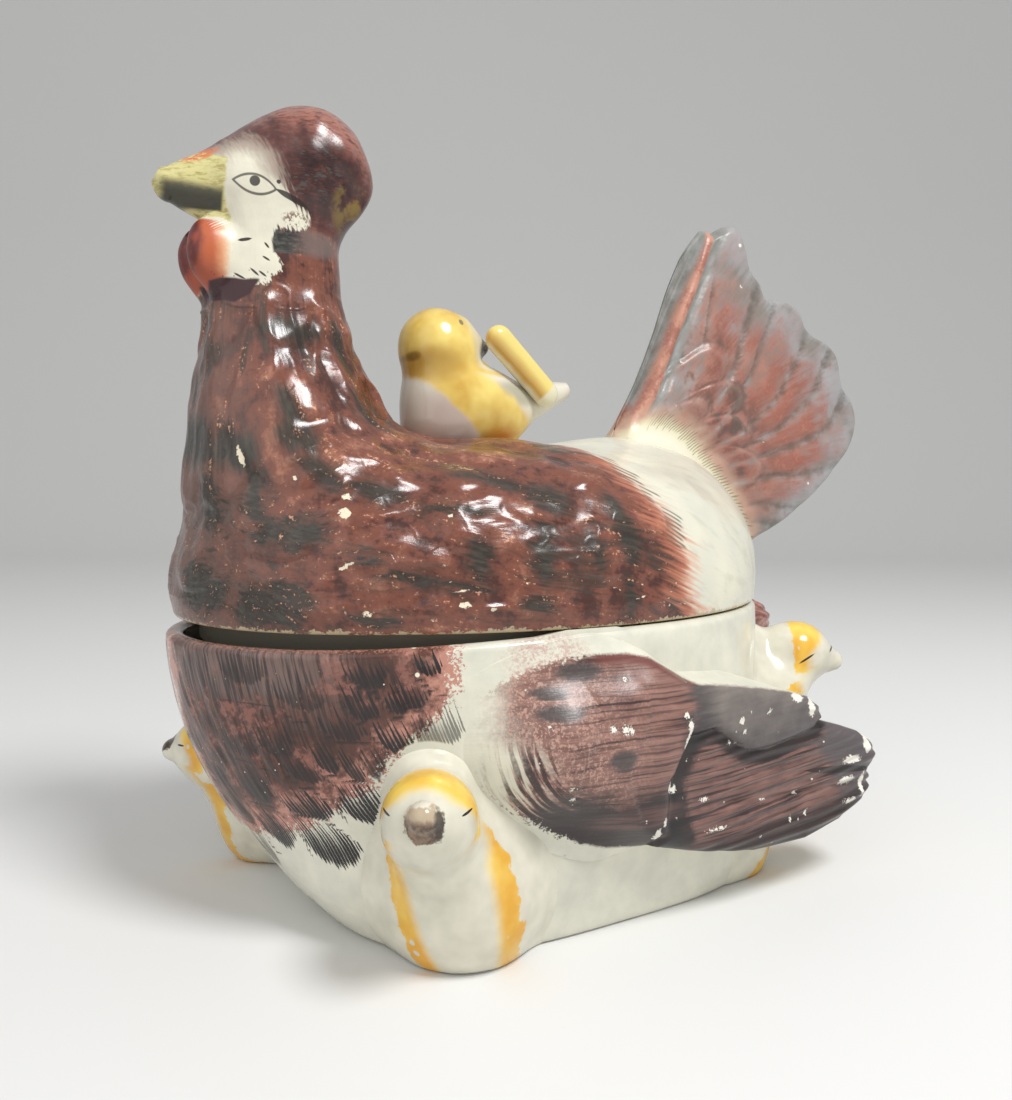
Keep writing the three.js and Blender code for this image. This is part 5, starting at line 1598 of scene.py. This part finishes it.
def wing_glaze():
    """Brushed wings: pink stipple in front, dark strokes along the feathers, slate above, chips."""
    g = Glaze("wing_glaze")
    place = g.place()
    x, _, z = g.axes(place)
    mottle = g.noise(place, 0.12, 3.0, 0.6)
    fine = g.noise(place, 0.9, 4.0, 0.7)
    grain = g.noise(place, 1.7, 2.0, 0.6)
    bend = z + (x * 0.06).sine() * 0.8 - x * 0.04 + mottle.sway(0.8)
    streak = g.noise((x * 0.045, 0.0, bend * 0.55), 1.0, 3.0, 0.65)
    hair = g.noise((x * 0.03, 3.0, bend * 1.2), 1.0, 1.5, 0.5)
    coverts, flight, top, chip = (g.attribute(name) for name in ("coverts", "flight", "top", "chip"))
    on_top = (top + (fine - 0.5)).rise(-0.2, 0.4) * (x + streak.sway(16.0)).rise(11.0, 20.0)
    on_long = flight.rise(-0.2, 0.2)
    behind = (0.8 - coverts).rise(0.0, 1.2).most(on_top)
    g.ground((160, 120, 108), (98, 68, 62), streak * 1.8 + mottle * 0.8 - 0.8)
    pink = (fine + grain * 0.5 - 0.3).rise(0.42, 0.56) * (x + 8.0 + mottle.sway(40.0)).rise(22.0, -24.0)
    g.coat((200, 162, 146), pink * 0.7)
    long = g.colour((138, 102, 92), (66, 48, 48), streak * 2.6 + mottle - 1.4)
    g.coat(long, behind * on_long)
    lines = hair.rise(0.5, 0.6) * (x + mottle.sway(30.0)).rise(-34.0, -10.0)
    lines = lines * (streak * 1.2 + behind * 0.2)
    g.coat((44, 34, 36), lines)
    tip = (x - 74.0 + (z - 38.0) * 0.8 + mottle.sway(20.0)).rise(-6.0, 8.0)
    g.coat((84, 80, 82), tip * behind * 0.85)
    bright = mottle * 1.3 + (z - 56.0) * 0.05 + streak * 0.4 - 0.5
    slate = g.colour((84, 78, 78), (130, 121, 114), bright)
    slate = g.colour(slate, (52, 48, 52), (x - 26.0 + streak.sway(16.0)).rise(4.0, -8.0) * 0.7)
    g.coat(slate, on_top * behind)
    shadow = (top + 3.4 + fine.sway(2.0) + streak.sway(3.0)).rise(-1.6, 1.0) * (1.0 - on_top)
    g.coat(INK, shadow * (z - 58.0).rise(0.0, -2.0) * x.rise(10.0, 16.0) * 0.92)
    seam = (4.6 - abs(coverts + 1.2) + fine.sway(4.0) + mottle.sway(3.0)).rise(-0.6, 2.6)
    g.coat(INK, seam * x.rise(5.0, 12.0) * z.rise(60.0, 54.0) * 0.92)
    g.coat(INK, line_mark(x, z, (62.0, 37.9), (96.0, 33.6), 1.1) * 0.85)
    low = (z - 43.0 + mottle.sway(9.0) + streak.sway(20.0)).rise(3.0, -4.0) * coverts.rise(-3.0, 1.0)
    g.coat((30, 26, 28), low * (x + fine.sway(6.0)).rise(-34.0, -20.0) * 0.92)
    strip = near(x, z, 1.0, 35.0, 15.0, 3.4, 1.5, 0.3) * streak.rise(0.35, 0.6)
    g.coat((116, 82, 76), strip * 0.6)
    hem = (z - 24.0 + (x - 50.0).most(0.0) * -0.12 + streak.sway(10.0)).rise(2.5, -3.5)
    g.coat(INK, hem * flight.rise(-1.0, 0.0) * 0.88)
    crest = (2.4 - coverts + (fine - 0.5)).rise(-0.6, 0.8) * z.rise(67.5, 69.5) * x.rise(-14.0, -6.0)
    g.coat((112, 60, 56), crest * 0.85)
    for cx, cz, wide, high in WING_SMUDGES:
        spot = near(x, z + hair.sway(3.0), cx, cz, wide, high, 1.5, 0.4)
        g.coat((66, 64, 64), spot * 0.85)
    rho = length_of(x + 12.0, z - 58.5)
    round_about = (z - 58.5) / rho
    sweep = g.noise((rho * 0.8, round_about * 1.2, 5.0), 1.0, 2.0, 0.6)
    fan_low = z.rise(60.0, 54.0) * rho.rise(12.0, 18.0) * x.rise(-8.0, -16.0)
    g.coat((48, 38, 40), (sweep - 0.56 - round_about * 0.12).rise(-0.03, 0.05) * fan_low * 0.9)
    loose = fine.sway(8.0) * x.rise(-8.0, -18.0)
    inside = (coverts + loose + (grain - 0.5)).rise(-0.4, 0.6)
    gaps = (0.52 + round_about * 0.1 - sweep).rise(-0.02, 0.05) * fan_low * x.rise(-22.0, -34.0)
    fading = (x + 35.5 + fine.sway(12.0) + mottle.sway(9.0)).rise(-6.0, 6.0)
    bare = (g.attribute("depth") + fine.sway(1.6)).rise(0.5, 1.6).most(x.rise(-6.0, -14.0))
    shown = either(inside, on_long, on_top) * fading * bare * (1.0 - gaps)
    g.ground(cream_ground(g, place), g.paint, shown)
    worn = (chip + grain.sway(2.0) + fine.sway(1.4)).rise(-0.1, 0.15)
    flecks = g.spots(g.moved(place, fine * 2.4, 0.0, grain * 2.0), 0.22).rise(0.09, 0.06)
    worn = worn.most(flecks * mottle.rise(0.5, 0.56))
    g.coat((232, 228, 216), worn * shown)
    return g.finish(fine * 0.1 + worn * 0.3 + 0.26, fine * 0.05 + streak * 0.1 - worn * 0.15)


# The middle of the low tuft at the rear.
TUFT_AT = (105, -4, 71.5)


def tuft_field(p):
    """A leaning ellipsoid."""
    return ellipsoid(p, TUFT_AT, (18.5, 12, 9.5), -4)


def build_tuft(relief):
    """The low tuft under the lid's rear edge, with strands along it: a sine round its length."""
    x, y, z = TUFT_AT
    grid = core_grid(tuft_field, (x - 5, y, z), (x + 6, y, z), 160, 90)
    strands = np.sin(np.arctan2(grid[..., 2] - z, grid[..., 1] - y) * 9 + cloud(grid, 9, 4))
    return Skins().add(grid + grid_normals(grid) * (0.35 * relief * (strands - 1))[..., None])


def tuft_glaze():
    """A pink-brown tuft of feathers at the back of the dish, with darker strokes."""
    g = Glaze("tuft_glaze")
    place = g.place()
    x, y, z = g.axes(place)
    streak = g.noise((x * 0.15, y, z * 0.6), 0.7, 3.0, 0.6)
    fine = g.noise(place, 0.9, 3.0, 0.6)
    g.ground((176, 124, 110), (116, 72, 66), streak.rise(0.35, 0.62))
    g.coat((62, 60, 56), streak.rise(0.6, 0.7) * 0.7)
    return g.finish(fine * 0.05 + 0.18, streak * 0.08)


class HenSettings(bpy.types.PropertyGroup):
    relief: bpy.props.FloatProperty(
        name="Feather Relief",
        description="Height of the modelled feathers over the body, in millimetres",
        default=1.0,
        min=0.0,
        max=2.0,
    )


class StageSettings(bpy.types.PropertyGroup):
    floor_colour: bpy.props.FloatVectorProperty(
        name="Floor Colour",
        description="Colour of the plain floor",
        default=(0.78, 0.78, 0.77),
        subtype="COLOR",
        min=0.0,
        max=1.0,
    )
    key_power: bpy.props.FloatProperty(
        name="Key Light",
        description="Power of the large lamp above",
        default=9.0,
        min=0.0,
        unit="POWER",
    )
    fill_power: bpy.props.FloatProperty(
        name="Fill Light",
        description="Power of the lamp on the left",
        default=5.0,
        min=0.0,
        unit="POWER",
    )
    world_light: bpy.props.FloatProperty(
        name="World Light",
        description="Brightness of the plain surroundings",
        default=0.55,
        min=0.0,
        max=2.0,
    )
    lens: bpy.props.FloatProperty(
        name="Lens",
        description="Focal length for a 36 mm wide frame, in millimetres",
        default=31.66,
        min=10.0,
    )


class HENDISH_OT_lid(bpy.types.Operator):
    """Models the hen's body, neck and head, hollow inside, with her painted face and plumage"""

    bl_idname = "hendish.lid"
    bl_label = "Lid"

    def execute(self, context):
        relief = context.scene.hen_settings.relief
        body = build_body(relief)
        body.make("hen_body", "lid", "plumage_glaze", plumage_glaze("body_glaze"), ["lid_shell"])
        glaze = plumage_glaze("head_glaze", True)
        build_head(relief).make("hen_head", "lid", "plumage_glaze", glaze, ["lid_shell"])
        return {"FINISHED"}


class HENDISH_OT_tail(bpy.types.Operator):
    """Models the upright fan of tail feathers"""

    bl_idname = "hendish.tail"
    bl_label = "Tail"

    def execute(self, context):
        tail = build_tail(context.scene.hen_settings.relief)
        tail.make("tail_feathers", "lid", "tail_glaze", tail_glaze(), ["tail_fan"])
        return {"FINISHED"}


class HENDISH_OT_finial(bpy.types.Operator):
    """Models the small preening chick that serves as the lid's handle, and its raised wings"""

    bl_idname = "hendish.finial"
    bl_label = "Finial Chick"

    def execute(self, context):
        glaze = finial_glaze()
        names = ("finial_chick", "finial_wing_left", "finial_wing_right")
        for name, skins in zip(names, build_finial(context.scene.hen_settings.relief)):
            skins.make(name + "_skin", "lid", "chick_glaze", glaze, [name])
        return {"FINISHED"}


class HENDISH_OT_dish(bpy.types.Operator):
    """Models the bowl with its rolled rim and the brushed breast"""

    bl_idname = "hendish.dish"
    bl_label = "Dish"

    def execute(self, context):
        dish = build_dish(context.scene.hen_settings.relief)
        dish.make("dish_skin", "dish", "white_glaze", dish_glaze(), ["dish_bowl"])
        return {"FINISHED"}


class HENDISH_OT_wings(bpy.types.Operator):
    """Models the two folded wings along the dish, and the tuft under the tail"""

    bl_idname = "hendish.wings"
    bl_label = "Wings and Tuft"

    def execute(self, context):
        relief = context.scene.hen_settings.relief
        glaze = wing_glaze()
        for name, side in (("wing_left", -1), ("wing_right", 1)):
            build_wing(side, relief).make(name + "_feathers", "dish", "wing_glaze", glaze, [name])
        build_tuft(relief).make("tuft_feathers", "dish", "plumage_glaze", tuft_glaze(), ["tail_tuft"])
        return {"FINISHED"}


class HENDISH_OT_chicks(bpy.types.Operator):
    """Models the four chicks that sit against the dish"""

    bl_idname = "hendish.chicks"
    bl_label = "Chicks"

    def execute(self, context):
        glaze = chick_glaze()
        for name in CHICKS:
            chick = build_chick(name, context.scene.hen_settings.relief)
            chick.make(name + "_skin", "dish", "chick_glaze", glaze, [name])
        return {"FINISHED"}


class HENDISH_OT_stage(bpy.types.Operator):
    """Adds the floor, soft lamps, plain surroundings and the camera"""

    bl_idname = "hendish.stage"
    bl_label = "Stage"

    def execute(self, context):
        settings = context.scene.stage_settings
        turn = np.radians(np.linspace(0, 90, 25))
        back = np.concatenate([[-4.0], 1.4 + np.sin(turn), [2.4]])
        high = np.concatenate([[0.0], 1 - np.cos(turn), [4.0]])
        across = Matrix.Rotation(VIEW_TURN, 3, "Z") @ Vector((5, 0, 0))
        away = Matrix.Rotation(VIEW_TURN, 3, "Z") @ Vector((0, 1, 0))
        points = []
        for b, h in zip(back, high):
            middle = away * b + Vector((0, 0, h))
            points += [tuple(middle - across), tuple(middle + across)]
        faces = [(2 * i, 2 * i + 1, 2 * i + 3, 2 * i + 2) for i in range(len(back) - 1)]
        floor = bpy.data.meshes.new("floor")
        floor.from_pydata(points, [], faces)
        floor.polygons.foreach_set("use_smooth", [True] * len(faces))
        g = Glaze("floor")
        g.paint = (*settings.floor_colour, 1.0)
        floor.materials.append(g.finish(0.6, specular=0.2))
        item = bpy.data.objects.new("floor", floor)
        context.scene.collection.objects.link(item)
        add_lamp("key", (0.16, -0.6, 0.98), (0, 0, 0.1), 0.34, settings.key_power)
        add_lamp("fill", (-1.2, -0.5, 0.8), (0, 0, 0.1), 1.8, settings.fill_power)
        world = bpy.data.worlds.new("studio")
        context.scene.world = world
        world.use_nodes = True
        background = world.node_tree.nodes["Background"]
        background.inputs["Color"].default_value = (1, 1, 1, 1)
        background.inputs["Strength"].default_value = settings.world_light
        add_camera(settings.lens)
        return {"FINISHED"}


def aimed(place, target, roll=0.0):
    """A matrix at a place, with -Z toward the target and +Y up, rolled to the right."""
    back = (Vector(place) - Vector(target)).normalized()
    right = Vector((0, 0, 1)).cross(back).normalized()
    up = back.cross(right)
    c, s = math.cos(roll), math.sin(roll)
    right, up = right * c + up * s, up * c - right * s
    return Matrix.Translation(place) @ Matrix((right, up, back)).transposed().to_4x4()


def add_lamp(name, place, target, size, power):
    """Adds a round lamp aimed at the target; sizes in metres, power in watts."""
    data = bpy.data.lights.new(name, "AREA")
    data.shape = "DISK"
    data.size = size
    data.energy = power
    lamp = bpy.data.objects.new(name, data)
    lamp.matrix_world = aimed(place, target)
    bpy.context.scene.collection.objects.link(lamp)


# The photographer stands off her left front: turned this far from her left side, at this height.
VIEW_TURN = math.radians(-30.0)
VIEW_PITCH = math.radians(3.4)
VIEW_ROLL = math.radians(0.2)
VIEW_FROM = (-0.1423, -0.2585, 0.118)


def add_camera(lens):
    """Adds the camera that the photographer's place gives."""
    data = bpy.data.cameras.new("camera")
    data.sensor_fit = "HORIZONTAL"
    data.sensor_width = 36.0
    data.lens = lens
    data.clip_start = 0.01
    camera = bpy.data.objects.new("camera", data)
    place = Vector(VIEW_FROM)
    toward = Vector((math.sin(VIEW_TURN), -math.cos(VIEW_TURN), 0))
    ahead = -toward * math.cos(VIEW_PITCH) - Vector((0, 0, 1)) * math.sin(VIEW_PITCH)
    camera.matrix_world = aimed(place, place + ahead, VIEW_ROLL)
    bpy.context.scene.collection.objects.link(camera)
    bpy.context.scene.camera = camera


class HENDISH_PT_panel(bpy.types.Panel):
    """The sidebar panel with the settings and one button for each step"""

    bl_idname = "HENDISH_PT_panel"
    bl_label = "Hen Dish"
    bl_space_type = "VIEW_3D"
    bl_region_type = "UI"
    bl_category = "Hen Dish"

    def draw(self, context):
        layout = self.layout
        layout.prop(context.scene.hen_settings, "relief")
        for step in STEPS:
            layout.operator(step.bl_idname)
        for name in ("floor_colour", "key_power", "fill_power", "world_light", "lens"):
            layout.prop(context.scene.stage_settings, name)


STEPS = (
    HENDISH_OT_lid,
    HENDISH_OT_tail,
    HENDISH_OT_finial,
    HENDISH_OT_dish,
    HENDISH_OT_wings,
    HENDISH_OT_chicks,
    HENDISH_OT_stage,
)
CLASSES = (HenSettings, StageSettings, *STEPS, HENDISH_PT_panel)


def register():
    """Registers the classes and their settings."""
    for item in CLASSES:
        bpy.utils.register_class(item)
    bpy.types.Scene.hen_settings = bpy.props.PointerProperty(type=HenSettings)
    bpy.types.Scene.stage_settings = bpy.props.PointerProperty(type=StageSettings)


def unregister():
    """Takes them away again."""
    del bpy.types.Scene.stage_settings
    del bpy.types.Scene.hen_settings
    for item in reversed(CLASSES):
        bpy.utils.unregister_class(item)


def main():
    """Builds every piece and the stage."""
    register()
    for step in STEPS:
        group, name = step.bl_idname.split(".")
        getattr(getattr(bpy.ops, group), name)()
    bpy.context.scene.view_settings.view_transform = "Standard"


if __name__ == "__main__":
    main()
